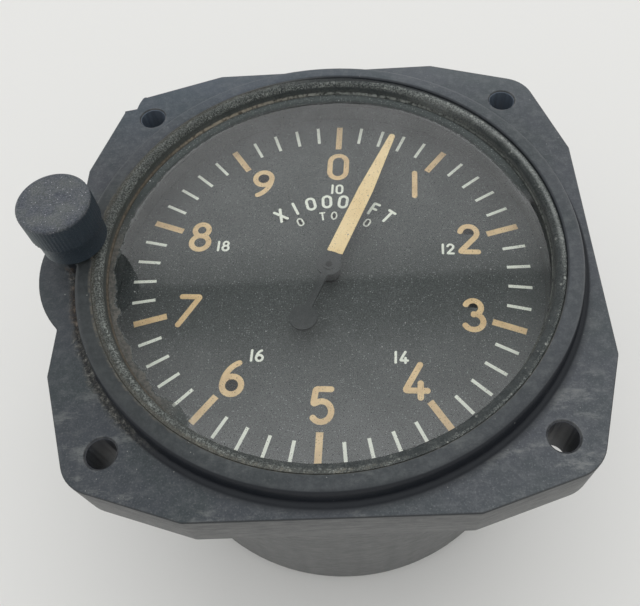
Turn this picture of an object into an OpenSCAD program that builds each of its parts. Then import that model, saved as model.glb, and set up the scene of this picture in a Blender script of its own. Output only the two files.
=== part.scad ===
// Single-hand aneroid altimeter that hangs behind a panel by its square flange.
// Millimetres. Origin at the centre of the flange's front face, +Z out of the dial,
// +Y the case's twelve o'clock and +X its three o'clock.

/* [Case] */
// Width of the flange across its flats
flange_w = 82.5; // [81.5:0.25:90]
// Straight stretch in the middle of each flange side
flange_side = 39; // [32:0.5:44]
// Thickness of the flange
flange_t = 9.5; // [8:0.25:12]
// Radius of the metal round each panel screw hole
lug_r = 5.7; // [4:0.1:7]
// Distance between panel screw holes along a side
bolt_spacing = 62.87; // [60:0.01:66]
// Diameter of the panel screw holes
bolt_hole_d = 4.3; // [3.6:0.1:5]
// Diameter of the round body behind the flange
body_d = 77.6; // [74:0.2:78.4]
// Wall of the round body
body_wall = 2.9; // [2:0.1:3.6]
// From the flange's front face to the rear face
case_len = 57.15; // [54:0.25:75]
// Thickness of the rear wall
rear_wall = 3; // [2.8:0.1:4]
// Rounding of the body's rear edge
rear_round = 1.5; // [0.5:0.1:2]
// Height of the round boss that fills the panel's cut-out
boss_h = 3; // [2.4:0.1:5]
// Flat land of the boss outside the glass seat
boss_land = 2.65; // [2.2:0.05:3]
// Hollow curve at the boss's foot
boss_cove = 0.8; // [0.4:0.1:1]
// Depth of the lobe that carries the knob
lobe_t = 12.5; // [11.5:0.25:16]
// Radius of the lobe
lobe_r = 16.6; // [14:0.1:18]
// Metal outside the pinion's pocket
lobe_wall = 1.3; // [1:0.1:4]

/* [Glass and ring] */
// Height of the retaining ring
ring_h = 2.7; // [1.8:0.1:3]
// Width of the retaining ring
ring_w = 1.75; // [1.4:0.05:2.4]
// Thickness of the glass
glass_t = 2.4; // [1.5:0.1:2.6]
// Thickness of the gasket under the glass
gasket_t = 0.8; // [0.5:0.1:1]
// Height of the spacer ring between gasket and case shoulder
spacer_h = 2.95; // [2.7:0.05:4]
// Width of the ledge on which the spacer ring stands
seat_ledge = 0.45; // [0.3:0.05:0.6]

/* [Dial and its drive] */
// Thickness of the dial
dial_t = 0.8; // [0.5:0.1:1.2]
// Thickness of the toothed dial wheel
dial_wheel_t = 1.5; // [1:0.1:2]
// Module of the dial wheel and the knob's pinion
dial_module = 0.5; // [0.4:0.1:0.6]
// Teeth of the knob's pinion
knob_teeth = 18; // [14:1:20]
// Hole in the middle of the dial
dial_hole_d = 3.2; // [2.4:0.1:4]
// Outside diameter of the tube on which the dial wheel turns
pivot_tube_d = 6; // [5:0.1:8]

/* [Knob] */
// Diameter of the knob's ribbed head
knob_d = 11.1; // [9:0.1:12]
// Height of the ribbed head
knob_head_h = 5; // [4:0.1:8]
// Height of the smooth collar under the head
knob_collar_h = 4.4; // [2:0.1:5]
// Number of ribs round the head
knob_ribs = 60; // [40:2:72]
// Where the knob's axis lies above the nine o'clock line
knob_lift = 2.5; // [0:0.1:4]
// Diameter of the knob's shaft
knob_shaft_d = 2.5; // [2:0.1:2.8]
// Wall of the bushing round the shaft
bushing_wall = 0.8; // [0.5:0.05:0.9]

/* [Pointer] */
// From the staff to the pointer's tip
pointer_len = 29.9; // [24:0.1:32]
// Widest part of the pointer
pointer_w = 2.6; // [2:0.1:3.4]
// Thickness of the pointer
pointer_t = 0.4; // [0.3:0.05:0.5]
// From the staff to the middle of the counterweight disc
tail_len = 10.4; // [8:0.1:12]
// Diameter of the counterweight disc
tail_d = 4.4; // [3:0.1:5]
// Height of the pointer's top above the dial
pointer_lift = 3.0; // [2.6:0.05:3.4]
// Altitude shown in the rest pose, in feet
shown_feet = 540; // [0:10:1000]
// Clockwise turn of the dial in the case at rest, in degrees
dial_turned = 3.9; // [-10:0.1:10]

/* [Movement] */
// Thickness of the top plate and the train plate
plate_t = 1.5; // [1.2:0.1:2]
// Thickness of the base plate
base_plate_t = 2; // [1.5:0.1:3]
// From the dial wheel down to the top plate
top_plate_drop = 2.45; // [2.2:0.05:3.5]
// Free height between top plate and train plate
train_space = 10.6; // [10.4:0.1:12]
// Height of the bosses on the rear wall that carry the base plate
rear_boss_h = 3; // [2.8:0.1:4]
// Diameter of the pillars
pillar_d = 5; // [4:0.1:6]
// From the case's inner wall to the pillars' circle
pillar_inset = 7.4; // [6.5:0.1:9]
// Module of the pointer's gear train
train_module = 0.4; // [0.35:0.05:0.4]
// Teeth of both train pinions
pinion_teeth = 14; // [14:1:15]
// Teeth of the intermediate wheel
wheel_teeth = 56; // [52:1:60]
// Teeth that the sector would have on a full turn
sector_teeth = 84; // [80:1:88]
// Thickness of the wheel and of the sector
gear_t = 0.8; // [0.6:0.1:1]
// Diameter of the pointer's staff
staff_d = 1; // [0.8:0.05:1.2]
// Diameter of the arbors
arbor_d = 1.6; // [1.4:0.1:2]
// Diameter of the pivots in the plates
pivot_d = 0.8; // [0.6:0.05:0.8]

/* [Linkage and capsules] */
// Drop of the rocking shaft below the train plate
rock_drop = 5.5; // [5:0.1:6.5]
// Length of the arm that drives the sector
drive_arm = 8; // [7.6:0.1:8.2]
// Length of the arm that the capsules lift
lift_arm = 7; // [6:0.1:8]
// Diameter of the rocking shaft
rock_shaft_d = 2.4; // [2:0.1:3]
// Half of the rocking shaft's length between its brackets
rock_half = 12; // [11:0.1:14]
// Diameter of the capsules
capsule_d = 38; // [30:0.5:42]
// Height of one capsule
capsule_h = 3.6; // [2.8:0.1:4]
// Height of the foot under the capsules
capsule_foot_h = 1.2; // [0.8:0.1:1.6]

/* [Static port] */
// Bore of the pipe thread
port_bore_d = 8.6; // [7.8:0.1:9]
// Outside of the threaded insert
port_insert_d = 13; // [12:0.1:15]
// Distance of the port from the case's axis
port_r = 16; // [15:0.5:18]
// Direction of the port from the case's axis, in degrees
port_dir = 300; // [290:1:310]

/* [Hidden] */
$fn = 96;
eps = 0.01;

// Clearances
turn_gap = 0.05;      // radial gap of a shaft in its bearing
end_gap = 0.15;       // end play of an arbor between its plates
part_gap = 0.3;       // gap between pieces that pass each other
loose_gap = 0.1;      // radial gap of a piece that is dropped into a bore
tooth_play = 0.08;    // thinning of each tooth

// Radii of the case, worked outwards from the bore
body_r = body_d / 2;
bore_r = body_r - body_wall;
seat_r = bore_r + seat_ledge;
boss_r = seat_r + boss_land;
boss_draft = 0.15;
boss_edge = 0.25;
flange_half = flange_w / 2;
bolt_xy = bolt_spacing / 2;
bolt_hole_r = bolt_hole_d / 2;
bolt_chamfer = 0.3;

// Heights of the front stack, worked down from the boss's top
z_glass = boss_h - ring_h;
z_gasket = z_glass - glass_t;
z_spacer = z_gasket - gasket_t;
z_ledge = z_spacer - spacer_h;
z_dial = z_ledge - part_gap;
z_dial_under = z_dial - dial_t;
z_wheel_under = z_dial_under - dial_wheel_t;
z_top_plate = z_wheel_under - top_plate_drop;
z_top_under = z_top_plate - plate_t;
z_train_plate = z_top_under - train_space;
z_train_under = z_train_plate - plate_t;

// Heights at the rear, worked up from the rear face
z_rear = -case_len;
z_rear_in = z_rear + rear_wall;
z_base_under = z_rear_in + rear_boss_h;
z_base = z_base_under + base_plate_t;

// Front stack radii
drop_in_r = seat_r - loose_gap;
ring_in_r = drop_in_r - ring_w;
spacer_in_r = drop_in_r - 1.5;
gasket_in_r = drop_in_r - 1.4;
dial_r = bore_r - 0.6;

// Teeth
addendum = 0.8;
dedendum = 1.05;
pressure_angle = 20;
dial_teeth = 2 * round((bore_r - 0.5 - addendum * dial_module) / dial_module);
knob_axis_r = dial_module * (dial_teeth + knob_teeth) / 2;
knob_x = -sqrt(knob_axis_r * knob_axis_r - knob_lift * knob_lift);
knob_dir = atan2(knob_lift, knob_x);
knob_at = [knob_x, knob_lift];

// Knob, shaft and pocket
knob_r = knob_d / 2;
knob_shaft_r = knob_shaft_d / 2;
bushing_in_r = knob_shaft_r + turn_gap;
bushing_r = bushing_in_r + bushing_wall;
collar_step = 0.45;
pad_step = 0.6;
knob_collar_r = knob_r - collar_step;
knob_pad_r = knob_collar_r - pad_step;
setscrew_r = 0.8;
z_knob = boss_h + part_gap + 0.1;
z_head = z_knob + knob_collar_h;
z_knob_top = z_head + knob_head_h;
z_pinion = z_dial_under - 0.2;
pinion_t = dial_wheel_t - 0.05;
z_pinion_under = z_pinion - pinion_t;
clip_t = 0.5;
z_clip_under = z_pinion_under - 0.1 - clip_t;
z_shaft_end = z_clip_under - 0.4;
z_pocket = z_pinion + 0.55;
z_pocket_floor = z_shaft_end - 0.6;
pocket_r = dial_module * knob_teeth / 2 + addendum * dial_module + part_gap;
packing_h = 1;
lobe_x = lobe_r - (knob_axis_r + pocket_r + lobe_wall);

// Pointer and rest pose
feet_per_degree = 1000 / 36;
pointer_dir = 90 - dial_turned - shown_feet / feet_per_degree;
top_feet = 20000;
low_feet = -1000;
train_ratio = (wheel_teeth / pinion_teeth) * (sector_teeth / pinion_teeth);
sector_sweep = (top_feet - low_feet) / feet_per_degree / train_ratio;
sector_turned = sector_sweep / 2 - (shown_feet - low_feet) / feet_per_degree / train_ratio;
hub_r = 2;
z_pointer = z_dial + pointer_lift;
z_hub_top = z_pointer + 0.15;
z_hub_under = z_dial + 0.55;
staff_r = staff_d / 2;

// Pillars and plates
pillar_r = pillar_d / 2;
pillar_circle = bore_r - pillar_inset;
plate_edge = 4;
plate_r = pillar_circle + plate_edge;
pillar_dirs = [30, 150, 270];
mount_dirs = [90, 210, 330];
mount_inset = 5.9;
mount_circle = bore_r - mount_inset;
rear_boss_r = 4.5;
screw_r = 1.4;
screw_head_r = 2.6;
screw_head_h = 1.5;
screw_recess = 0.6;
screw_hole_r = screw_r + 0.15;
tap_depth = 4;

// Dial pivot and the feet that carry the dial on its wheel
foot_circle = 12;
foot_dirs = [60, 180, 300];
foot_r = 1;
tube_r = pivot_tube_d / 2;
tube_shoulder_r = tube_r + 2;
washer_t = 0.3;
z_washer_under = z_wheel_under - washer_t;
staff_bush_r = tube_r - 1.4;
bush_r = 1.2;
staff_bush_h = 2;
pivot_r = pivot_d / 2;
arbor_r = arbor_d / 2;

// Gear train in plan
wheel_r = train_module * wheel_teeth / 2;
pinion_r = train_module * pinion_teeth / 2;
sector_r = train_module * sector_teeth / 2;
inter_dir = 121;
inter_at = (wheel_r + pinion_r) * [cos(inter_dir), sin(inter_dir)];
sector_dir = 75.85;
sector_at = inter_at - (sector_r + pinion_r) * [cos(sector_dir), sin(sector_dir)];

// Gear train in height
z_inter_wheel = z_top_under - 4.1;
z_inter_wheel_under = z_inter_wheel - gear_t;
staff_pinion_t = 1.8;
z_staff_pinion = z_inter_wheel + 0.5;
z_sector_under = z_train_plate + 2.4;
z_sector = z_sector_under + gear_t;
inter_pinion_t = 2;
z_inter_pinion = z_sector + 0.6;
z_spring_under = z_top_under - 2.2;
spring_h = 1;
spring_wall = 0.2;
spring_pitch = 0.75;
spring_turns = 6;
collet_r = 1.4;
spring_in_r = collet_r + spring_wall / 2 + 0.02;
spring_out_r = spring_in_r + spring_pitch * spring_turns;
spring_end_dir = 0;
stud_r = 0.5;

// Sector and its pin
sector_half = sector_sweep / 2 + 6;
sector_hub_r = 2.6;
ball_r = 0.8;
sector_pin_r = 0.4;
arm_t = 0.8;
pin_side = arm_t / 2 + ball_r + part_gap;
pin_from_axis = [drive_arm, pin_side];

// Rocking shaft: arms and brackets, all worked out from the sector's place
rock_at = sector_at.y;
z_rock = z_train_under - rock_drop;
rock_turned = -sector_turned;
arm_x = sector_at.x + drive_arm;
rock_shaft_r = rock_shaft_d / 2;
rock_pivot_r = 0.6;
cheek_t = 1.5;
cheek_gap = 0.3;
bracket_foot = 4.4;
bracket_half = 2.5;
bracket_screw_r = 0.8;
bracket_screw_x = rock_half + cheek_gap + cheek_t + bracket_foot / 2;
link_t = 1.2;
link_x = 0;
lift_plate_x = link_x + link_t / 2 + 0.2;
lift_plate_t = 1;
link_pin_r = 0.5;
eye_r = 1.2;

// Lift pin's place at rest, and the hub pin straight below the middle of its swing
lift_at = [link_x,
           rock_at + lift_arm * cos(rock_turned),
           z_rock + lift_arm * sin(rock_turned)];
hub_pin_y = rock_at + lift_arm * (1 + cos(sector_sweep / 2)) / 2;
loose_eye = 0.3;

// Capsules, stacked up from the base plate to the hub, and the link that spans the rest
hub_flange_h = 1.2;
hub_flange_r = 4;
hub_cheek_h = 3;
hub_cheek_t = 1;
capsule_r = capsule_d / 2;
neck_r = 2.5;
neck_h = 0.2;
z_capsules_under = z_base + capsule_foot_h;
z_capsules = z_capsules_under + 2 * (capsule_h + neck_h);
z_hub_pin = z_capsules + hub_cheek_h;
link_len = lift_at.z - z_hub_pin;
capsule_foot_r = 5;
nut_af = 8;
nut_h = 1.9;

// Static port
port_at = port_r * [cos(port_dir), sin(port_dir)];
port_shoulder_r = port_insert_d / 2 + 1.6;
port_shoulder_h = 1.2;
port_nut_af = port_insert_d + 3;
port_nut_h = 2.2;
port_top = z_rear_in + port_nut_h + 0.4;

// Corner that was broken off, measured from its screw hole
chip_edge = [[-5.4, 2.1], [-3.4, 2.6], [-2.9, 3.8], [-2.3, 5.3]];
chip_outside = [[-3.5, 9], [-10, 4]];
chip_depth = 6;

// Colours
c_case = [0.27, 0.29, 0.32];
c_ring = [0.30, 0.31, 0.31];
c_dial = [0.22, 0.23, 0.24];
c_tan = [0.86, 0.70, 0.47];
c_brass = [0.72, 0.57, 0.28];
c_steel = [0.62, 0.63, 0.65];
c_alloy = [0.72, 0.73, 0.74];
c_rubber = [0.12, 0.12, 0.12];
c_capsule = [0.76, 0.62, 0.38];

// Plain helpers
function turn(p, a) = [p.x * cos(a) - p.y * sin(a), p.x * sin(a) + p.y * cos(a)];
function polar(r, a) = [r * cos(a), r * sin(a)];
function arc(c, r, a0, a1, n) = [for (i = [0:n]) c + polar(r, a0 + (a1 - a0) * i / n)];
function tangent_point(p, c, r) =
  let (d = norm(c - p), a = atan2(c.y - p.y, c.x - p.x), b = asin(r / d))
  p + sqrt(d * d - r * r) * [cos(a + b), sin(a + b)];

module tube(r_out, r_in, z0, z1) {
  translate([0, 0, z0])
    difference() {
      cylinder(r = r_out, h = z1 - z0);
      translate([0, 0, -1]) cylinder(r = r_in, h = z1 - z0 + 2);
    }
}

module rod(r, z0, z1) {
  translate([0, 0, z0]) cylinder(r = r, h = z1 - z0);
}

module at(p) {
  translate([p.x, p.y, 0]) children();
}

module around(circle, dirs) {
  for (a = dirs) at(polar(circle, a)) children();
}

// Flat bar between two points, w wide with round ends
module bar(p, q, w) {
  d = q - p;
  n = w / 2 * [-d.y, d.x] / norm(d);
  polygon([p + n, p - n, q - n, q + n]);
  translate(p) circle(d = w);
  translate(q) circle(d = w);
}

// Screw whose head lies under z1 and whose shank ends at z0, head upwards
module screw_up(z0, z1, r, head_r, head_h) {
  difference() {
    union() {
      rod(r, z0, z1 - head_h + eps);
      rod(head_r, z1 - head_h, z1);
    }
    translate([-head_r - 1, -0.3, z1 - 0.6]) cube([2 * head_r + 2, 0.6, 1]);
  }
}

// The same screw with its head downwards at z0
module screw_down(z0, z1, r, head_r, head_h) {
  mirror([0, 0, 1]) screw_up(-z1, -z0, r, head_r, head_h);
}

module hex_nut(af, r_in, z0, z1) {
  translate([0, 0, z0])
    difference() {
      cylinder(r = af / sqrt(3), h = z1 - z0, $fn = 6);
      translate([0, 0, -1]) cylinder(r = r_in, h = z1 - z0 + 2);
    }
}

// Involute teeth with short addendum
function involute(a) = tan(a) * 180 / PI - a;
function tooth_half(m, z, r) =
  let (rp = m * z / 2,
       rb = rp * cos(pressure_angle),
       a = r > rb ? acos(rb / r) : 0)
  90 / z - tooth_play / 2 / rp * 180 / PI + involute(pressure_angle) - involute(a);
function tooth_radii(m, z) =
  let (rp = m * z / 2,
       root = rp - dedendum * m,
       rb = rp * cos(pressure_angle),
       start = max(root, rb),
       top = rp + addendum * m)
  concat(root < rb - 0.01 ? [root] : [], [for (i = [0:2]) start + (top - start) * i / 2]);
function tooth(m, z, c) =
  let (rs = tooth_radii(m, z), n = len(rs) - 1)
  concat([for (i = [0:n]) polar(rs[i], c - tooth_half(m, z, rs[i]))],
         [for (i = [n:-1:0]) polar(rs[i], c + tooth_half(m, z, rs[i]))]);

module gear_outline(m, z, phase) {
  polygon([for (i = [0:z - 1]) each tooth(m, z, phase + 360 * i / z)]);
}

module gear(m, z, phase, hole_r, z0, t) {
  translate([0, 0, z0])
    linear_extrude(t)
      difference() {
        gear_outline(m, z, phase);
        circle(r = hole_r);
      }
}

// Case
module flange_outline() {
  side = flange_side / 2;
  corner = [bolt_xy, bolt_xy];
  near = tangent_point([side, flange_half], corner, lug_r);
  quarter = [[flange_half, side], [near.y, near.x], near, [side, flange_half]];
  polygon([for (q = [0:3]) each [for (p = quarter) turn(p, 90 * q)]]);
  for (q = [0:3]) translate(turn(corner, 90 * q)) circle(r = lug_r);
}

module case_turning() {
  foot_r = boss_r + boss_draft;
  rotate_extrude()
    polygon(concat(
      [[0, z_rear]],
      arc([body_r - rear_round, z_rear + rear_round], rear_round, -90, 0, 6),
      [[body_r, -1]],
      arc([foot_r + boss_cove, boss_cove], boss_cove, 270, 180, 6),
      [[boss_r, boss_h - boss_edge], [boss_r - boss_edge, boss_h], [0, boss_h]]));
}

module pinion_pocket() {
  translate([0, 0, z_pocket_floor])
    linear_extrude(z_pocket - z_pocket_floor)
      rotate(knob_dir) {
        translate([knob_axis_r, 0]) circle(r = pocket_r);
        translate([bore_r - 2, -pocket_r]) square([knob_axis_r - bore_r + 2, 2 * pocket_r]);
      }
}

module panel_holes() {
  for (q = [0:3]) at(turn([bolt_xy, bolt_xy], 90 * q)) {
    rod(bolt_hole_r, -flange_t - 1, 1);
    translate([0, 0, -bolt_chamfer])
      cylinder(r1 = bolt_hole_r, r2 = bolt_hole_r + 2 * bolt_chamfer, h = 2 * bolt_chamfer);
  }
}

module broken_corner() {
  translate([-bolt_xy, bolt_xy, -chip_depth])
    linear_extrude(chip_depth + 1) polygon(concat(chip_edge, chip_outside));
}

module chamber() {
  difference() {
    rod(bore_r, z_rear_in, z_ledge + eps);
    around(mount_circle, mount_dirs) rod(rear_boss_r, z_rear_in - 1, z_base_under);
  }
  rod(seat_r, z_ledge, boss_h + 1);
}

module case_shell() {
  color(c_case)
    difference() {
      union() {
        translate([0, 0, -flange_t]) linear_extrude(flange_t) flange_outline();
        translate([lobe_x, 0, -lobe_t]) cylinder(r = lobe_r, h = lobe_t);
        case_turning();
        at(knob_at) rod(knob_pad_r, -1, boss_h);
      }
      chamber();
      pinion_pocket();
      at(knob_at) rod(bushing_r, z_pocket - 1, boss_h + 1);
      panel_holes();
      broken_corner();
      around(mount_circle, mount_dirs) {
        rod(screw_hole_r, z_rear - 1, z_base_under + 1);
        rod(screw_head_r + part_gap, z_rear - 1, z_rear + screw_head_h + screw_recess);
      }
      at(port_at) {
        rod(port_insert_d / 2, z_rear - 1, z_rear_in + 1);
        rod(port_shoulder_r, z_rear - 1, z_rear + port_shoulder_h);
      }
    }
}

// Front stack
module retaining_ring() {
  crown_h = 1.1;
  half = ring_w / 2;
  mid = ring_in_r + half;
  color(c_ring)
    rotate_extrude()
      polygon(concat(
        [[ring_in_r, z_glass], [drop_in_r, z_glass]],
        [for (a = [0:15:180]) [mid + half * cos(a), boss_h - crown_h + crown_h * sin(a)]]));
}

module glass() {
  color([0.8, 0.85, 0.85, 0.35]) rod(drop_in_r, z_gasket, z_glass);
}

module glass_gasket() {
  color(c_rubber) tube(drop_in_r, gasket_in_r, z_spacer, z_gasket);
}

module spacer_ring() {
  color(c_dial) tube(drop_in_r, spacer_in_r, z_ledge, z_spacer);
}

// Rear fittings
module static_port_insert() {
  color(c_brass)
    at(port_at)
      difference() {
        union() {
          rod(port_insert_d / 2, z_rear, port_top);
          rod(port_shoulder_r, z_rear, z_rear + port_shoulder_h);
        }
        rod(port_bore_d / 2, z_rear - 1, port_top + 1);
      }
}

module port_nut() {
  color(c_brass)
    at(port_at) hex_nut(port_nut_af, port_insert_d / 2, z_rear_in, z_rear_in + port_nut_h);
}

module movement_screws() {
  color(c_steel)
    around(mount_circle, mount_dirs)
      screw_down(z_rear + screw_recess, z_base, screw_r, screw_head_r, screw_head_h);
}

// Frame of the movement
module plate(z0, t) {
  rod(plate_r, z0, z0 + t);
}

module base_plate() {
  color(c_alloy)
    difference() {
      plate(z_base_under, base_plate_t);
      around(mount_circle, mount_dirs) rod(screw_r, z_base_under - 1, z_base + 1);
      around(pillar_circle, pillar_dirs) rod(screw_r, z_base_under - 1, z_base + 1);
      rod(screw_r, z_base_under - 1, z_base + 1);
      at(port_at) rod(port_insert_d / 2 + 1, z_base_under - 1, z_base + 1);
    }
}

// Pillar with a tapped hole in each end
module pillar(z0, z1) {
  difference() {
    rod(pillar_r, z0, z1);
    rod(screw_r, z0 - 1, z0 + tap_depth);
    rod(screw_r, z1 - tap_depth, z1 + 1);
  }
}

module long_pillars() {
  color(c_alloy) around(pillar_circle, pillar_dirs) pillar(z_base, z_train_under);
}

module short_pillars() {
  stub = tap_depth - part_gap - plate_t;
  color(c_alloy)
    around(pillar_circle, pillar_dirs) {
      difference() {
        rod(pillar_r, z_train_plate, z_top_under);
        rod(screw_r, z_top_under - tap_depth, z_top_under + 1);
      }
      rod(screw_r, z_train_under - stub, z_train_plate + eps);
    }
}

module pillar_screws() {
  color(c_steel)
    around(pillar_circle, pillar_dirs)
      screw_down(z_base_under - screw_head_h, z_base + tap_depth - part_gap,
                 screw_r, screw_head_r, screw_head_h);
}

module top_screws() {
  color(c_steel)
    around(pillar_circle, pillar_dirs)
      screw_up(z_top_under - tap_depth + part_gap, z_top_plate + screw_head_h,
               screw_r, screw_head_r, screw_head_h);
}

module bracket_holes() {
  for (s = [-1, 1]) at([s * bracket_screw_x, rock_at])
    rod(bracket_screw_r, z_train_under - 1, z_train_plate + 1);
}

module train_plate() {
  color(c_brass)
    difference() {
      plate(z_train_under, plate_t);
      around(pillar_circle, pillar_dirs) rod(screw_r, z_train_under - 1, z_train_plate + 1);
      for (p = [[0, 0], inter_at, sector_at]) at(p) rod(bush_r, z_train_under - 1, z_train_plate + 1);
      bracket_holes();
      arm_window();
    }
}

// Window through which the rocking shaft's drive arm reaches the sector's pin
module arm_window() {
  reach = drive_arm * sin(sector_sweep / 2) + pin_side + ball_r + part_gap;
  wide = 4;
  translate([arm_x - wide / 2, rock_at - reach, z_train_under - 1])
    cube([wide, 2 * reach, plate_t + 2]);
}

module top_plate() {
  color(c_brass)
    difference() {
      union() {
        plate(z_top_under, plate_t);
        rod(tube_shoulder_r, z_top_plate - eps, z_washer_under);
        rod(tube_r, z_top_plate, z_dial_under - end_gap);
      }
      rod(staff_bush_r, z_top_under - 1, z_dial);
      around(pillar_circle, pillar_dirs) rod(screw_r, z_top_under - 1, z_top_plate + 1);
      for (p = [inter_at, sector_at]) at(p) rod(bush_r, z_top_under - 1, z_top_plate + 1);
      at(polar(spring_out_r, spring_end_dir)) rod(stud_r, z_top_under - 1, z_top_plate + 1);
    }
}

module friction_washer() {
  color(c_steel) tube(tube_shoulder_r, tube_r + turn_gap, z_washer_under, z_wheel_under);
}

module staff_bushes() {
  color(c_brass) {
    tube(staff_bush_r, staff_r + turn_gap, z_dial_under - end_gap - staff_bush_h, z_dial_under - end_gap);
    tube(bush_r, pivot_r + turn_gap, z_train_under, z_train_plate);
  }
}

module arbor_bushes() {
  color(c_brass)
    for (p = [inter_at, sector_at]) at(p) {
      tube(bush_r, pivot_r + turn_gap, z_train_under, z_train_plate);
      tube(bush_r, pivot_r + turn_gap, z_top_under, z_top_plate);
    }
}

// Two angle brackets that carry the rocking shaft under the train plate
module rocker_brackets() {
  cheek_x = rock_half + cheek_gap;
  color(c_brass)
    for (s = [0, 1]) mirror([s, 0, 0])
      difference() {
        union() {
          translate([cheek_x, rock_at - bracket_half, z_rock - bracket_half])
            cube([cheek_t, 2 * bracket_half, rock_drop + bracket_half]);
          translate([cheek_x, rock_at - bracket_half, z_train_under - cheek_t])
            cube([cheek_t + bracket_foot, 2 * bracket_half, cheek_t]);
        }
        translate([cheek_x - 1, rock_at, z_rock])
          rotate([0, 90, 0]) cylinder(r = rock_pivot_r + turn_gap, h = cheek_t + 2);
        at([bracket_screw_x, rock_at])
          rod(bracket_screw_r, z_train_under - cheek_t - 1, z_train_under + 1);
      }
}

module bracket_screws() {
  head_h = 0.8;
  head_r = 1.5;
  color(c_steel)
    for (s = [-1, 1]) at([s * bracket_screw_x, rock_at])
      screw_up(z_train_under - cheek_t, z_train_plate + head_h, bracket_screw_r, head_r, head_h);
}

// Hairspring: flat spiral from the staff's collet out to the stud
function spiral(r0, a) = polar(r0 + spring_pitch * a / 360, spring_end_dir + a);
module hairspring() {
  steps = 24 * spring_turns;
  ends = 360 * spring_turns;
  color(c_steel)
    translate([0, 0, z_spring_under])
      linear_extrude(spring_h)
        polygon(concat(
          [for (i = [0:steps]) spiral(spring_in_r - spring_wall / 2, ends * i / steps)],
          [for (i = [steps:-1:0]) spiral(spring_in_r + spring_wall / 2, ends * i / steps)]));
}

module hairspring_stud() {
  slot = spring_wall + 0.2;
  color(c_brass)
    at(polar(spring_out_r, spring_end_dir))
      difference() {
        rod(stud_r, z_spring_under - 0.3, z_top_plate);
        translate([-slot / 2, -1, z_spring_under - 1])
          cube([slot, 2, spring_h + 1.1]);
      }
}

// Capsules and what holds them
module capsule_stud() {
  color(c_brass) {
    rod(capsule_foot_r, z_base, z_capsules_under);
    rod(screw_r, z_base_under - nut_h - 0.3, z_base + eps);
  }
}

module capsule_nut() {
  color(c_brass) hex_nut(nut_af, screw_r, z_base_under - nut_h, z_base_under);
}

// One sealed capsule: two rippled discs joined at the rim
module capsule(z0) {
  rim = 0.35;
  waves = 3;
  steps = 24;
  swell = capsule_h / 2;
  function half_height(u) =
    rim + (swell - rim) * (1 - pow(u, 3)) * (0.86 + 0.14 * cos(360 * waves * u));
  function side(s) =
    [for (i = [0:steps]) [capsule_r * i / steps, s * half_height(i / steps)]];
  lower = side(-1);
  upper = side(1);
  translate([0, 0, z0 + capsule_h / 2])
    rotate_extrude()
      polygon(concat(lower, [for (i = [steps:-1:0]) upper[i]]));
}

module aneroid_capsules() {
  color(c_capsule) {
    for (i = [0, 1]) capsule(z_capsules_under + neck_h + i * (capsule_h + neck_h));
    rod(neck_r, z_capsules_under, z_capsules);
  }
}

// Dial
module dial() {
  color(c_dial) tube(dial_r, dial_hole_d / 2, z_dial_under, z_dial);
}

module dial_wheel() {
  holes = 6;
  hole_r = 7.5;
  rim = 5.5;
  color(c_alloy)
    translate([0, 0, z_wheel_under])
      linear_extrude(dial_wheel_t)
        difference() {
          gear_outline(dial_module, dial_teeth, knob_dir);
          circle(r = tube_r + turn_gap);
          for (i = [0:holes - 1])
            translate(polar(bore_r - rim - hole_r, 360 * i / holes)) circle(r = hole_r);
          for (a = foot_dirs) translate(polar(foot_circle, a)) circle(r = foot_r);
        }
}

module dial_feet() {
  color(c_alloy)
    around(foot_circle, foot_dirs) {
      rod(foot_r, z_wheel_under - eps, z_dial_under);
      rod(foot_r + 0.5, z_wheel_under - 0.4, z_wheel_under);
    }
}

// Knob and its drive
module knob() {
  rib_deep = 0.22;
  core_r = knob_r - rib_deep - 0.1;
  round_r = 0.7;
  top_dish = 0.25;
  collar_edge = 0.5;
  color(c_case)
    at(knob_at)
      difference() {
        union() {
          translate([0, 0, z_head])
            linear_extrude(knob_head_h - round_r)
              polygon([for (i = [0:2 * knob_ribs - 1])
                polar(knob_r - (i % 2) * rib_deep, 180 * i / knob_ribs)]);
          translate([0, 0, z_knob_top - round_r])
            rotate_extrude()
              polygon(concat([[0, -eps]],
                arc([core_r - round_r, 0], round_r, 0, 90, 6),
                [[knob_r - 2.4, round_r], [0, round_r - top_dish]]));
          translate([0, 0, z_knob])
            rotate_extrude()
              polygon([[0, 0], [knob_collar_r - collar_edge, 0], [knob_collar_r, collar_edge],
                       [knob_collar_r, knob_collar_h - collar_edge],
                       [core_r, knob_collar_h + eps], [0, knob_collar_h + eps]]);
        }
        rod(knob_shaft_r, z_knob - 1, z_head + 2.5);
        translate([0, 0, z_knob + knob_collar_h / 2]) rotate([0, 90, knob_dir])
          cylinder(r = setscrew_r, h = knob_r + 1);
      }
}

module knob_setscrew() {
  color(c_steel)
    at(knob_at)
      translate([0, 0, z_knob + knob_collar_h / 2]) rotate([0, 90, knob_dir])
        difference() {
          translate([0, 0, knob_shaft_r]) cylinder(r = setscrew_r, h = knob_collar_r - knob_shaft_r - 0.5);
          translate([-0.2, -1, knob_collar_r - 1]) cube([0.4, 2, 1]);
        }
}

module knob_shaft() {
  color(c_steel) at(knob_at) rod(knob_shaft_r, z_shaft_end, z_head + 2.5);
}

module knob_bushing() {
  color(c_brass) at(knob_at) tube(bushing_r, bushing_in_r, z_pocket + packing_h, boss_h);
}

module shaft_packing() {
  color(c_rubber) at(knob_at) tube(bushing_r, knob_shaft_r + 0.02, z_pocket, z_pocket + packing_h);
}

module knob_pinion() {
  color(c_brass)
    at(knob_at)
      gear(dial_module, knob_teeth, knob_dir + 180 + 180 / knob_teeth, knob_shaft_r,
           z_pinion_under, pinion_t);
}

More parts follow.
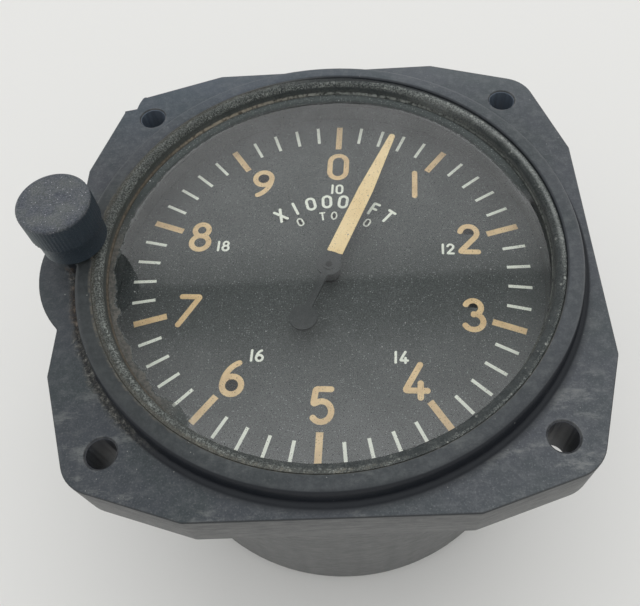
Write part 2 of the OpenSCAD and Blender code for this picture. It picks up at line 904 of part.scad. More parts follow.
module shaft_clip() {
  clip_w = 1;
  mouth = 1.2;
  clip_r = knob_shaft_r + clip_w;
  color(c_steel)
    at(knob_at)
      difference() {
        tube(clip_r, knob_shaft_r, z_clip_under, z_clip_under + clip_t);
        translate([0, -mouth / 2, z_clip_under - 1]) cube([2 * clip_r, mouth, clip_t + 2]);
      }
}

// Pointer and its staff
module pointer_outline() {
  w = pointer_w / 2;
  tip_r = 0.55;
  tip_spread = 80;
  blade = 2.5;
  taper = pointer_len * 0.55;
  polygon(concat(
    [[0, -hub_r * 0.8], [blade, -w], [taper, -w]],
    arc([pointer_len - tip_r, 0], tip_r, -tip_spread, tip_spread, 6),
    [[taper, w], [blade, w], [0, hub_r * 0.8]]));
  bar([0, 0], [-tail_len, 0], 1.1);
  translate([-tail_len, 0]) circle(d = tail_d);
  circle(r = hub_r);
}

module pointer() {
  color(c_tan)
    rotate([0, 0, pointer_dir])
      translate([0, 0, z_pointer - pointer_t])
        linear_extrude(pointer_t)
          difference() {
            pointer_outline();
            circle(r = staff_r + 0.5);
          }
}

module pointer_hub() {
  color(c_dial)
    difference() {
      union() {
        rod(hub_r - 0.4, z_hub_under, z_pointer - pointer_t);
        rod(staff_r + 0.5, z_hub_under, z_hub_top);
      }
      rod(staff_r, z_hub_under - 1, z_hub_top + 1);
    }
}

module pointer_staff() {
  color(c_steel) {
    rod(staff_r, z_train_plate + end_gap, z_hub_top + 0.1);
    rod(pivot_r, z_train_under + end_gap, z_train_plate + end_gap + eps);
  }
}

module staff_pinion() {
  color(c_brass)
    gear(train_module, pinion_teeth, inter_dir, staff_r, z_staff_pinion - staff_pinion_t, staff_pinion_t);
}

module hairspring_collet() {
  color(c_brass) tube(collet_r, staff_r, z_spring_under - 0.2, z_spring_under + spring_h + 0.2);
}

// Intermediate wheel and pinion
module intermediate_wheel() {
  color(c_brass)
    at(inter_at)
      translate([0, 0, z_inter_wheel_under])
        linear_extrude(gear_t)
          difference() {
            gear_outline(train_module, wheel_teeth, inter_dir + 180 + 180 / wheel_teeth);
            circle(r = arbor_r);
            for (i = [0:4]) translate(polar(wheel_r * 0.58, 72 * i)) circle(r = wheel_r * 0.24);
          }
}

module intermediate_pinion() {
  color(c_steel)
    at(inter_at)
      gear(train_module, pinion_teeth, sector_dir + 180, arbor_r, z_inter_pinion - inter_pinion_t, inter_pinion_t);
}

module arbor() {
  rod(arbor_r, z_train_plate + end_gap, z_top_under - end_gap);
  rod(pivot_r, z_train_under + end_gap, z_top_plate - end_gap);
}

module intermediate_arbor() {
  color(c_steel) at(inter_at) arbor();
}

// Sector
module sector_gear() {
  mid = sector_dir + sector_turned;
  tip_room = 2;
  rim_w = 2.6;
  slot_from_hub = 1.6;
  spoke_sweep = 7;
  far = sector_r + tip_room;
  rim = sector_r - rim_w;
  color(c_brass)
    at(sector_at)
      translate([0, 0, z_sector_under])
        linear_extrude(gear_t)
          difference() {
            union() {
              intersection() {
                gear_outline(train_module, sector_teeth, sector_dir + 180 / sector_teeth);
                polygon([polar(1, mid + 180), polar(far, mid - sector_half),
                         polar(far * 1.05, mid), polar(far, mid + sector_half)]);
              }
              circle(r = sector_hub_r);
              bar([0, 0], turn(pin_from_axis, sector_turned), 2);
            }
            circle(r = arbor_r);
            polygon([polar(sector_hub_r + slot_from_hub, mid),
                     polar(rim, mid - sector_half + spoke_sweep),
                     polar(rim * 1.02, mid),
                     polar(rim, mid + sector_half - spoke_sweep)]);
            translate(turn(pin_from_axis, sector_turned)) circle(r = sector_pin_r);
          }
}

module sector_arbor() {
  color(c_steel) at(sector_at) arbor();
}

module sector_pin() {
  z_ball = z_rock + drive_arm;
  color(c_steel)
    at(sector_at + turn(pin_from_axis, sector_turned)) {
      rod(sector_pin_r, z_ball, z_sector);
      translate([0, 0, z_ball]) sphere(r = ball_r);
    }
}

// Rocking shaft and what is fixed on it, drawn level and then turned to the rest pose
module on_rocker() {
  translate([0, rock_at, z_rock]) rotate([rock_turned, 0, 0]) children();
}

module cross_rod(r, x0, x1) {
  translate([x0, 0, 0]) rotate([0, 90, 0]) cylinder(r = r, h = x1 - x0);
}

module rocking_shaft() {
  color(c_steel)
    on_rocker() {
      cross_rod(rock_shaft_r, -rock_half, rock_half);
      cross_rod(rock_pivot_r, -rock_half - cheek_gap - cheek_t + 0.2, rock_half + cheek_gap + cheek_t - 0.2);
    }
}

module drive_arm_plate() {
  arm_w = 2;
  past_ball = 1;
  color(c_brass)
    on_rocker()
      difference() {
        union() {
          cross_rod(rock_shaft_r + 0.9, arm_x - arm_w / 2, arm_x + arm_w / 2);
          translate([arm_x - arm_w / 2, -arm_t / 2, 0]) cube([arm_w, arm_t, drive_arm + past_ball]);
        }
        cross_rod(rock_shaft_r, arm_x - arm_w, arm_x + arm_w);
      }
}

module lift_arm_plate() {
  color(c_brass)
    on_rocker()
      difference() {
        translate([lift_plate_x, 0, 0])
          rotate([90, 0, 90])
            linear_extrude(lift_plate_t)
              union() {
                circle(r = rock_shaft_r + 0.9);
                bar([0, 0], [lift_arm, 0], 2 * eye_r);
              }
        cross_rod(rock_shaft_r, lift_plate_x - 1, lift_plate_x + lift_plate_t + 1);
        translate([0, lift_arm, 0]) cross_rod(link_pin_r, lift_plate_x - 1, lift_plate_x + lift_plate_t + 1);
      }
}

module bimetal_strip() {
  strip_t = 0.4;
  strip_w = 1.4;
  strip_from_shaft = 0.6;
  strip_from_pin = 1.4;
  strip_start = rock_shaft_r + strip_from_shaft;
  color(c_steel)
    on_rocker()
      translate([lift_plate_x + lift_plate_t, strip_start, -strip_w / 2])
        cube([strip_t, lift_arm - strip_from_pin - strip_start, strip_w]);
}

module lift_pin() {
  color(c_steel)
    on_rocker()
      translate([0, lift_arm, 0]) cross_rod(link_pin_r, link_x - link_t / 2 - 0.2, lift_plate_x + lift_plate_t + 0.2);
}

module balance_weight() {
  weight_x = 5;
  weight_out = 6.5;
  weight_r = 2.1;
  weight_h = 2.4;
  color(c_brass)
    on_rocker()
      translate([weight_x, 0, 0])
        difference() {
          union() {
            rotate([90, 0, 0]) cylinder(r = 0.6, h = weight_out);
            translate([0, -weight_out + weight_h, 0]) rotate([90, 0, 0]) cylinder(r = weight_r, h = weight_h);
            cross_rod(rock_shaft_r + 0.9, -1, 1);
          }
          cross_rod(rock_shaft_r, -2, 2);
        }
}

// Link between the lift pin and the capsules' hub
module link() {
  color(c_steel)
    translate([link_x - link_t / 2, lift_at.y, lift_at.z])
      rotate([90, 0, 90])
        linear_extrude(link_t)
          difference() {
            bar([0, 0], [0, -link_len], 2 * eye_r);
            circle(r = link_pin_r + turn_gap);
            translate([0, -link_len]) circle(r = link_pin_r + loose_eye);
          }
}

module capsule_hub() {
  cheek_in = link_t / 2 + part_gap;
  color(c_brass)
    difference() {
      union() {
        rod(hub_flange_r, z_capsules, z_capsules + hub_flange_h);
        for (s = [0, 1]) mirror([s, 0, 0])
          translate([cheek_in, hub_pin_y - eye_r, z_capsules])
            cube([hub_cheek_t, 2 * eye_r, z_hub_pin + eye_r - z_capsules]);
      }
      translate([0, hub_pin_y, z_hub_pin]) cross_rod(link_pin_r, -5, 5);
    }
}

module hub_pin() {
  reach = link_t / 2 + part_gap + hub_cheek_t;
  color(c_steel) translate([0, hub_pin_y, z_hub_pin]) cross_rod(link_pin_r, -reach, reach);
}

case_shell();
retaining_ring();
glass();
glass_gasket();
spacer_ring();
static_port_insert();
port_nut();
movement_screws();
knob_bushing();
shaft_packing();
base_plate();
long_pillars();
pillar_screws();
train_plate();
short_pillars();
top_plate();
top_screws();
friction_washer();
staff_bushes();
arbor_bushes();
rocker_brackets();
bracket_screws();
hairspring();
hairspring_stud();
capsule_stud();
capsule_nut();
aneroid_capsules();
dial();
dial_wheel();
dial_feet();
knob();
knob_shaft();
knob_pinion();
knob_setscrew();
shaft_clip();
pointer();
pointer_hub();
pointer_staff();
staff_pinion();
hairspring_collet();
intermediate_wheel();
intermediate_pinion();
intermediate_arbor();
sector_gear();
sector_arbor();
sector_pin();
rocking_shaft();
drive_arm_plate();
lift_arm_plate();
bimetal_strip();
balance_weight();
lift_pin();
link();
capsule_hub();
hub_pin();
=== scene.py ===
import math

import bpy
from mathutils import Matrix, Vector


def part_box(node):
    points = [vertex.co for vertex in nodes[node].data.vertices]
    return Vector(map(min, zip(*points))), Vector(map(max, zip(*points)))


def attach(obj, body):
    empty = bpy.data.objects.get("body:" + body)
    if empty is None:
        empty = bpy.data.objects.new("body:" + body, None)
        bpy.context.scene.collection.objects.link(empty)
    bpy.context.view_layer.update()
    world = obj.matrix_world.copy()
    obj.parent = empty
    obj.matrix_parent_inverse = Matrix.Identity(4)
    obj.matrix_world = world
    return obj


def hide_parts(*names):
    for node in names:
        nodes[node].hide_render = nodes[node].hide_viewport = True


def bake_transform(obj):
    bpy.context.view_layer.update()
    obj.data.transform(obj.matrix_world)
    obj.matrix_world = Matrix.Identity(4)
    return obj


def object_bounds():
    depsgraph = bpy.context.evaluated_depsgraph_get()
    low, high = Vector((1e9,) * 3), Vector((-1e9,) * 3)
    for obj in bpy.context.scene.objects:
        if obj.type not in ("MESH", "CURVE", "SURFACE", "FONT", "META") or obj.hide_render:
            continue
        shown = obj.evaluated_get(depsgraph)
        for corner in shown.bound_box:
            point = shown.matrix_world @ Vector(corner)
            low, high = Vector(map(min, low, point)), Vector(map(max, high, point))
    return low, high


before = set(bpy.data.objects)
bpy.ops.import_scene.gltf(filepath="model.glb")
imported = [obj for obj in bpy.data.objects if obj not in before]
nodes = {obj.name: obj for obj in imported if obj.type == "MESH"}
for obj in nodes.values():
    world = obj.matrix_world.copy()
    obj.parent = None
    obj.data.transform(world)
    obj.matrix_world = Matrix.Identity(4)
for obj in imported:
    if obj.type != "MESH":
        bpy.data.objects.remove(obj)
cad_low, cad_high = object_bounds()
scene = bpy.context.scene
scene.view_settings.view_transform = "Standard"
mm = 0.001


# Camera
# The photograph was taken by hand, close above the dial and from the six o'clock side,
# with the instrument standing on its rear face on a white table.
photo_width = 640
photo_height = 606
focal_px = 719
centre_px = (342.7, 302.1)
eye = Vector((5.66, -64.42, 93.42)) * mm
sight = Vector((-0.0321, 0.5095, -0.8599))
photo_down = Vector((-0.0432, -0.8602, -0.5081))

camera_data = bpy.data.cameras.new("camera")
camera_data.sensor_width = 36
camera_data.lens = focal_px / photo_width * camera_data.sensor_width
camera_data.shift_x = (photo_width / 2 - centre_px[0]) / photo_width
camera_data.shift_y = (centre_px[1] - photo_height / 2) / photo_width
camera_data.clip_start = 5 * mm
camera_data.clip_end = 20
camera = bpy.data.objects.new("camera", camera_data)
scene.collection.objects.link(camera)
back = -sight.normalized()
side = (-photo_down).cross(back).normalized()
up = back.cross(side)
camera.matrix_world = Matrix.Translation(eye) @ Matrix((side, up, back)).transposed().to_4x4()
scene.camera = camera


# Case
# The case is one moulding of black phenolic with a square flange, a round boss and a lobe
# for the knob. Handling has left it matt and blotchy, and its top left corner is broken off.
class Wire:
    """A value in a material, so that a pattern is written as plain sums."""

    def __init__(self, tree, socket=None):
        self.tree = tree
        self.socket = socket

    def node(self, kind, settings=None, inputs=None, output=0):
        made = self.tree.nodes.new("ShaderNode" + kind)
        for name, value in (settings or {}).items():
            if name == "stops":
                first, last = made.color_ramp.elements
                (first.position, first.color), (last.position, last.color) = value[0], value[-1]
                for position, colour in value[1:-1]:
                    made.color_ramp.elements.new(position).color = colour
            else:
                setattr(made, name, value)
        for name, value in (inputs or {}).items():
            if isinstance(value, Wire):
                self.tree.links.new(value.socket, made.inputs[name])
            else:
                made.inputs[name].default_value = value
        return Wire(self.tree, made.outputs[output])

    def sum(self, operation, first, second):
        return self.node("Math", {"operation": operation}, {0: first, 1: second})

    def __add__(self, other):
        return self.sum("ADD", self, other)

    def __radd__(self, other):
        return self.sum("ADD", other, self)

    def __sub__(self, other):
        return self.sum("SUBTRACT", self, other)

    def __rsub__(self, other):
        return self.sum("SUBTRACT", other, self)

    def __mul__(self, other):
        return self.sum("MULTIPLY", self, other)

    def __rmul__(self, other):
        return self.sum("MULTIPLY", other, self)

    def __truediv__(self, other):
        return self.sum("DIVIDE", self, other)

    def __pow__(self, other):
        return self.sum("POWER", self, other)

    def __gt__(self, other):
        return self.sum("GREATER_THAN", self, other)

    def __abs__(self):
        return self.node("Math", {"operation": "ABSOLUTE"}, {0: self})


def new_finish(name):
    finish = bpy.data.materials.new(name)
    finish.use_nodes = True
    return finish, Wire(finish.node_tree)


def place(wire):
    return wire.node("TexCoord", output="Object")


def parts_of(wire):
    """x, y and z of a point, as three values."""
    split = wire.node("SeparateXYZ", inputs={"Vector": place(wire)})
    outputs = split.socket.node.outputs
    return [Wire(wire.tree, socket) for socket in outputs]


def cloud(wire, size, detail=4, rough=0.55, stretch=(1, 1, 1)):
    """Soft noise from 0 to 1 whose patches are about size across."""
    where = wire.node("Mapping", inputs={"Vector": place(wire), "Scale": stretch})
    return wire.node("TexNoise", inputs={
        "Vector": where, "Scale": 1 / size, "Detail": detail, "Roughness": rough})


def step(value, low, high):
    """0 below low and 1 above high, with a soft edge between them."""
    return value.node("MapRange", {"interpolation_type": "SMOOTHSTEP"},
                      {"Value": value, "From Min": low, "From Max": high})


def specks(wire, apart, size, share=1.0, flat=False, shift=0.0):
    """Scattered round specks, one to a cell of the width apart, in a share of the cells."""
    where = wire.node("VectorMath", {"operation": "ADD"}, {0: place(wire), 1: (shift, shift, 0)})
    cells = wire.node("TexVoronoi", {"voronoi_dimensions": "2D" if flat else "3D"},
                      {"Vector": where, "Scale": 1 / apart})
    outputs = cells.socket.node.outputs
    draw = wire.node("SeparateColor", inputs={"Color": Wire(wire.tree, outputs["Color"])})
    red, green = (Wire(wire.tree, s) for s in draw.socket.node.outputs[:2])
    radius = (red * 0.7 + 0.3) * (size / apart)
    inside = step(Wire(wire.tree, outputs["Distance"]) / radius, 1.0, 0.6)
    return inside * (green > 1 - share)


def mixed(share, first, second):
    """A colour between two: the first where the share is 0, the second where it is 1."""
    return share.node("Mix", {"data_type": "RGBA"}, {0: share, 6: first, 7: second}, output=2)


def rgb(red, green, blue):
    """A colour as the photograph shows it, from 0 to 255, made linear."""
    def linear(level):
        level = level / 255
        return level / 12.92 if level <= 0.04045 else ((level + 0.055) / 1.055) ** 2.4

    return (linear(red), linear(green), linear(blue), 1)


def lay_on(wire, colour, roughness, height=None, depth=0.0, **plain):
    """Feeds the shader with a colour, a roughness and a relief of the given depth."""
    shader = wire.tree.nodes["Principled BSDF"]
    feeds = {"Base Color": colour, "Roughness": roughness}
    if height is not None:
        feeds["Normal"] = wire.node("Bump", inputs={
            "Height": height, "Distance": depth, "Strength": 1.0})
    for name, value in {**feeds, **plain}.items():
        if isinstance(value, Wire):
            wire.tree.links.new(value.socket, shader.inputs[name])
        else:
            shader.inputs[name].default_value = value
    return shader


def only(piece):
    """Leaves one piece selected and nothing else."""
    if bpy.context.object and bpy.context.object.mode != "OBJECT":
        bpy.ops.object.mode_set(mode="OBJECT")
    bpy.ops.object.select_all(action="DESELECT")
    piece.select_set(True)
    bpy.context.view_layer.objects.active = piece


def pick(piece, kind, rule):
    """Goes into edit mode with the faces, edges or vertices selected that pass the rule."""
    only(piece)
    bpy.ops.object.mode_set(mode="EDIT")
    bpy.ops.mesh.select_mode(type=kind)
    bpy.ops.mesh.select_all(action="DESELECT")
    bpy.ops.object.mode_set(mode="OBJECT")
    mesh = piece.data
    parts = {"FACE": mesh.polygons, "EDGE": mesh.edges, "VERT": mesh.vertices}[kind]
    parts.foreach_set("select", [bool(rule(part)) for part in parts])
    bpy.ops.object.mode_set(mode="EDIT")


def merged_copy(node, name, whole_faces=True):
    """A copy of a node's mesh with its corners merged and, if asked, flat triangles joined."""
    piece = bpy.data.objects.new(name, nodes[node].data.copy())
    scene.collection.objects.link(piece)
    only(piece)
    bpy.ops.object.mode_set(mode="EDIT")
    bpy.ops.mesh.select_all(action="SELECT")
    bpy.ops.mesh.remove_doubles(threshold=1e-7)
    if whole_faces:
        bpy.ops.mesh.dissolve_limited(angle_limit=math.radians(0.5))
    bpy.ops.object.mode_set(mode="OBJECT")
    return piece


def done(piece, finish, body, smooth=30):
    """Smooths a piece, gives it its finish and hangs it on its body."""
    only(piece)
    bpy.ops.object.transform_apply(location=True, rotation=True, scale=True)
    bpy.ops.object.shade_smooth_by_angle(angle=math.radians(smooth))
    piece.data.materials.clear()
    piece.data.materials.append(finish)
    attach(piece, body)


def repaint(finish, *names):
    for name in names:
        nodes[name].material_slots[0].material = finish


flange_t = 9.5 * mm
lobe_t = 12.5 * mm
hole_xy = 62.87 / 2 * mm
hole_r = 2.15 * mm
hole_clear = 3.4 * mm
boss_foot_r = 39.95 * mm
chip_at = Vector((-hole_xy - 4.5 * mm, hole_xy + 4.5 * mm))
chip_reach = 4.2 * mm
chip_depth = 6.1 * mm
edge_soften = 0.25 * mm

case = merged_copy("case_shell", "case")


def outer_edge(edge):
    """True for the edges that a hand meets: the rims of the flange and of the lobe."""
    ends = [case.data.vertices[i].co for i in edge.vertices]
    middle = (ends[0] + ends[1]) / 2
    flat = middle.xy
    past_boss = all(end.xy.length > boss_foot_r for end in ends)
    past_holes = (Vector((abs(flat.x), abs(flat.y))) - Vector((hole_xy, hole_xy))).length > hole_clear
    level = all(min(abs(end.z), abs(end.z + flange_t), abs(end.z + lobe_t)) < 1e-6 for end in ends)
    whole = (flat - chip_at).length > chip_reach
    return past_boss and past_holes and level and whole


pick(case, "EDGE", outer_edge)
bpy.ops.object.mode_set(mode="OBJECT")
rim = [edge.select for edge in case.data.edges]
only(case)
bpy.ops.object.mode_set(mode="EDIT")
bpy.ops.mesh.select_all(action="DESELECT")
bpy.ops.mesh.edges_select_sharp(sharpness=math.radians(12))
bpy.ops.object.mode_set(mode="OBJECT")
for edge, level in zip(case.data.edges, rim):
    edge.select = edge.select and level
bpy.ops.object.mode_set(mode="EDIT")
bpy.ops.mesh.bevel(offset=edge_soften, segments=2, affect="EDGES")
bpy.ops.object.mode_set(mode="OBJECT")


def broken_face(face):
    """True for the walls that the broken corner has left."""
    away = face.center.xy - chip_at
    return away.length < chip_reach and abs(face.normal.z) < 0.5 and face.center.z > -chip_depth


pick(case, "FACE", broken_face)
bpy.ops.mesh.subdivide(number_cuts=5, fractal=0.5, fractal_along_normal=0.5, seed=4)
bpy.ops.object.mode_set(mode="OBJECT")
near_front = [face for face in case.data.polygons if abs(face.center.z) < 0.5 * mm]
flat_corners = set(max(near_front, key=lambda face: face.area).vertices)
pick(case, "VERT", lambda v: v.index in flat_corners)
bpy.ops.transform.resize(value=(1, 1, 0), center_override=(0, 0, 0))
bpy.ops.object.mode_set(mode="OBJECT")

boss_r = 39.0 * mm
boss_h = 3.0 * mm
boss_chamfer = 0.25 * mm
boss_bevel = 0.32 * mm
rounding = 0.3 * mm
seam_r = 36.35 * mm
seam_bevel = 0.3 * mm


def on_ring(vertex, radius, level):
    return abs(vertex.co.z - level) < 1e-5 and abs(vertex.co.xy.length - radius) < 0.03 * mm


pick(case, "VERT", lambda v: on_ring(v, boss_r - boss_chamfer, boss_h))
smaller = (boss_r - boss_chamfer - rounding) / (boss_r - boss_chamfer)
bpy.ops.transform.resize(value=(smaller, smaller, 1), center_override=(0, 0, boss_h))
pick(case, "VERT", lambda v: on_ring(v, boss_r, boss_h - boss_chamfer))
bpy.ops.transform.translate(value=(0, 0, -rounding))
bpy.ops.object.mode_set(mode="OBJECT")

# Both edges of the boss's chamfer and the edge of the ring's seam are rounded.
rings = (
    (boss_r - boss_chamfer - rounding, boss_h, boss_bevel),
    (boss_r, boss_h - boss_chamfer - rounding, boss_bevel),
    (seam_r, boss_h, seam_bevel))
for out, level, width in rings:
    corners = case.data.vertices
    pick(case, "EDGE", lambda edge: all(on_ring(corners[i], out, level) for i in edge.vertices))
    bpy.ops.mesh.bevel(offset=width, segments=3, affect="EDGES")
    bpy.ops.object.mode_set(mode="OBJECT")

phenolic, wire = new_finish("phenolic")
x, y, z = parts_of(wire)
radius = (x * x + y * y) ** 0.5
blotch = cloud(wire, 12 * mm, 5, 0.6)
mottle = cloud(wire, 1.5 * mm, 6, 0.72)
scuff = cloud(wire, 4 * mm, 7, 0.74, (0.4, 1, 1))
grain = cloud(wire, 0.3 * mm, 4, 0.75)
lower = step(y, -12 * mm, -30 * mm)
left = step(x, -14 * mm, -28 * mm) * step(y, 20 * mm, 6 * mm)
near = step(y, -14 * mm, -30 * mm)
leftish = step(x, 22 * mm, -30 * mm)
colour = mixed(step(blotch, 0.38, 0.62), rgb(47, 54, 57), rgb(56, 59, 66))
colour = mixed(step(mottle, 0.42, 0.7) * 0.7, colour, rgb(88, 91, 93))
colour = mixed(step(grain, 0.52, 0.72) * (0.5 + near * 0.3), colour, rgb(114, 116, 118))
colour = mixed(step(grain, 0.46, 0.28) * (0.5 + near * 0.3), colour, rgb(24, 28, 33))
# The far part of the flange is painted a lighter blue-grey, a painted sheen.
far_sheen = mixed(leftish, rgb(104, 112, 118), rgb(78, 96, 112))
colour = mixed(step(y, 16 * mm, 42 * mm) * 0.3, colour, far_sheen)
colour = mixed(step(scuff, 0.53, 0.66) * (lower * 0.55 + 0.12), colour, rgb(128, 130, 128))
# Towards the left and the near side the flange is painted darker, a painted shade, and its right-hand
# part lighter, a painted light.
colour = mixed(leftish * step(y, 30 * mm, -6 * mm) * 0.3, colour, rgb(20, 35, 40))
colour = mixed((1 - leftish) * step(y, 36 * mm, 10 * mm) * 0.12, colour, rgb(128, 134, 140))

# The flat top of the boss is a little darker. Its outer side is painted a deep black, a painted shade.
land = step(z, boss_h - 0.5 * mm, boss_h - 0.2 * mm)
land_tone = mixed(step(mottle, 0.35, 0.65), rgb(32, 38, 39), rgb(60, 65, 65))
darker_land = left + near * (1 - left) * 0.5
land_share = land * step(y, 34 * mm, 10 * mm) * (0.35 + darker_land * 0.4)
colour = mixed(land_share, colour, land_tone)
colour = mixed(land * (left * 0.4 + near * (1 - left) * 0.1), colour, rgb(25, 29, 31))
# Along the near edge of the boss's top a patchy painted shade is laid.
patchy_shade = step(cloud(wire, 3 * mm, 5, 0.65, (0.3, 1, 1)), 0.4, 0.62)
near_edge_shade = step(radius, boss_r - 1.1 * mm, boss_r - 0.4 * mm) * land
colour = mixed(near_edge_shade * near * (0.2 + patchy_shade * 0.5), colour, rgb(24, 28, 33))
# A dark line along the boss's rounded rim, strongest at the far left, is painted shade.
far_left = step(x, 12 * mm, -6 * mm) * step(y, -6 * mm, 12 * mm)
boss_rim = step(radius, boss_r - 0.75 * mm, boss_r - 0.5 * mm)
boss_rim = boss_rim * step(z, boss_h - 1.2 * mm, boss_h - 0.8 * mm)
colour = mixed(boss_rim * (0.15 + far_left * 0.45), colour, rgb(36, 42, 48))
edge_from = boss_r - 0.22 * mm - near * (0.3 * mm)
boss_side = step(radius - edge_from, 0.0, 0.22 * mm)
boss_side = boss_side * step(radius, boss_r + 1.4 * mm, boss_r + 1.0 * mm)
boss_side = boss_side * step(z, -0.2 * mm, 0.0)
colour = mixed(boss_side * 0.95, colour, rgb(7, 12, 20))
foot_shade = step(radius, boss_r + 2.3 * mm, boss_r + 1.2 * mm)
foot_shade = foot_shade * step(abs(z), 0.3 * mm, 0.1 * mm)
foot_shade = foot_shade * (1 - left) * step(x + y, 40 * mm, 10 * mm)
colour = mixed(foot_shade * 0.6, colour, rgb(20, 25, 31))
# The seam round the ring is painted dark towards the upper right, a painted shade.
open_seam = step(x + y * 0.8, 14 * mm, 34 * mm)
groove = step(radius, seam_r + 0.4 * mm, seam_r + 0.15 * mm)
groove = groove * step(z, boss_h - 0.9 * mm, boss_h - 0.6 * mm)
colour = mixed(groove * open_seam * 0.8, colour, rgb(20, 26, 33))
in_seam = step(radius, seam_r + 0.15 * mm, seam_r + 0.03 * mm)
in_seam = in_seam * step(z, 0.6 * mm, 1.0 * mm)
colour = mixed(in_seam * (1 - open_seam) * 0.7, colour, rgb(112, 110, 103))

# The sides of flange and body are painted a lighter, streaked grey as a painted sheen, bluer at the
# right, with a dark line at the rim.
wall_inner = 36.8 * mm
wall_middle = 37.4 * mm
sides = step(z, -0.1 * mm, -0.4 * mm) * step(radius, wall_inner, wall_middle)
inside = step(radius, wall_middle, wall_inner) * step(z, 0.6 * mm, 0.2 * mm)
streak = cloud(wire, 2.5 * mm, 7, 0.72, (1, 1, 6))
side_sheen = mixed(step(streak, 0.36, 0.66), rgb(74, 75, 75), rgb(108, 108, 106))
colour = mixed(sides * 0.85, colour, side_sheen)
colour = mixed(sides * step(x, 36 * mm, 41 * mm) * 0.7, colour, rgb(110, 117, 130))
rim_line = step(z, 0.0, -0.12 * mm) * step(z, -0.6 * mm, -0.3 * mm)
colour = mixed(rim_line * (0.6 + mottle), colour, rgb(22, 26, 30))
rear_line = step(z, 0.35 * mm - flange_t, 0.2 * mm - flange_t)
rear_line = rear_line * step(z, -0.06 * mm - flange_t, -flange_t)
colour = mixed(rear_line * step(mottle, 0.35, 0.6) * 0.6, colour, rgb(158, 158, 155))

# Grey-brown dirt lies at the boss's foot and in the ring's seam on the left, pale dust elsewhere.
wander = (cloud(wire, 5 * mm, 3, 0.5) - 0.5) * (2.4 * mm)
wavy_r = radius + wander
foot_dirt = step(wavy_r, boss_r - 0.1 * mm, boss_r + 0.4 * mm)
foot_dirt = foot_dirt * step(wavy_r, boss_r + 2.1 * mm, boss_r + 1.1 * mm)
foot_dirt = foot_dirt * step(abs(z), 2.4 * mm, 1.4 * mm)
foot_dirt = foot_dirt * left * step(y, -33 * mm, -24 * mm)
crumbs = step(cloud(wire, 0.8 * mm, 6, 0.75), 0.42, 0.6)
dirt = mixed(step(grain, 0.35, 0.65), rgb(72, 75, 74), rgb(146, 144, 136))
rusty = step(abs(y + 2 * mm), 13 * mm, 7 * mm)
rusty = rusty * step(cloud(wire, 4 * mm, 3, 0.5), 0.44, 0.56)
dirt = mixed(rusty * 0.6, dirt, rgb(116, 94, 74))
colour = mixed(foot_dirt * (0.1 + crumbs * 0.7), colour, dirt)
flecks = specks(wire, 1.7 * mm, 0.15 * mm, 0.6) * (0.2 + left * 0.4) * (1 - sides)
colour = mixed(flecks, colour, rgb(158, 160, 156))
seam_dirt = step(radius + wander * 0.15, seam_r + 0.5 * mm, seam_r + 0.2 * mm)
seam_dirt = seam_dirt * step(z, boss_h - 1.0 * mm, boss_h - 0.7 * mm) * left * crumbs
seam_tone = mixed(grain, rgb(62, 59, 53), rgb(122, 116, 102))
colour = mixed(seam_dirt * 0.7, colour, seam_tone)
away = ((abs(x) - hole_xy) ** 2 + (abs(y) - hole_xy) ** 2) ** 0.5
hole_rim = step(away, hole_r + 0.65 * mm, hole_r + 0.25 * mm)
hole_rim = hole_rim * step(away, hole_r, hole_r + 0.15 * mm)
colour = mixed(hole_rim * step(mottle, 0.4, 0.6) * 0.25, colour, rgb(120, 121, 120))
# The walls of the screw holes are painted darker in the near holes and a lighter blue-grey in the far
# ones, as painted shade and light.
hole_wall = step(away, hole_r + 0.1 * mm, hole_r + 0.02 * mm)
hole_wall = hole_wall * step(z, 0.0, -0.3 * mm)
near_wall = mixed(mottle, rgb(38, 44, 55), rgb(66, 68, 72))
wall_tone = mixed(step(y, -10 * mm, 10 * mm), near_wall, rgb(106, 118, 132))
colour = mixed(hole_wall * 0.9, colour, wall_tone)
dust = specks(wire, 1.3 * mm, 0.11 * mm, 0.45) * 0.5
flecks = specks(wire, 4.5 * mm, 0.22 * mm, 0.35, shift=0.4)
colour = mixed(dust + flecks * 0.8, colour, rgb(182, 182, 178))
dull = 0.4 + mottle * 0.22
relief = grain * 0.5 + mottle * 0.9 + foot_dirt * crumbs * 3.0
# A faint white lift over all but the boss's side is a painted sheen.
colour = mixed((1 - boss_side) * 0.014, colour, (1, 1, 1, 1))
# The bore's wall below the glass is painted a lighter grey-green, a painted light.
colour = mixed(inside * 0.6, colour, rgb(92, 97, 96))
lay_on(wire, colour, dull, relief, 0.05 * mm, **{"Specular IOR Level": 0.3})

done(case, phenolic, "root")
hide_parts("case_shell")


# Rear fittings
# The static line screws into a brass insert that a nut holds in the rear wall. Three screws
# with slotted heads hold the movement, each in its own recess of the rear face.
brass, wire = new_finish("tarnished_brass")
tone = cloud(wire, 2.2 * mm, 5, 0.6)
turning = cloud(wire, 0.25 * mm, 2, 0.5)
colour = mixed(step(tone, 0.35, 0.7), rgb(181, 150, 88), rgb(132, 104, 58))
lay_on(wire, colour, 0.26 + tone * 0.28, turning, 0.01 * mm, Metallic=1.0)

steel, wire = new_finish("ground_steel")
tone = cloud(wire, 1.2 * mm, 4, 0.6)
scratch = cloud(wire, 0.5 * mm, 3, 0.5, (1, 1, 9))
colour = mixed(tone, rgb(150, 152, 156), rgb(112, 114, 118))
lay_on(wire, colour, 0.28 + scratch * 0.24, scratch, 0.01 * mm, Metallic=1.0)

repaint(brass, "static_port_insert", "port_nut", "knob_bushing")
repaint(steel, "movement_screws", "pillar_screws", "top_screws", "bracket_screws")


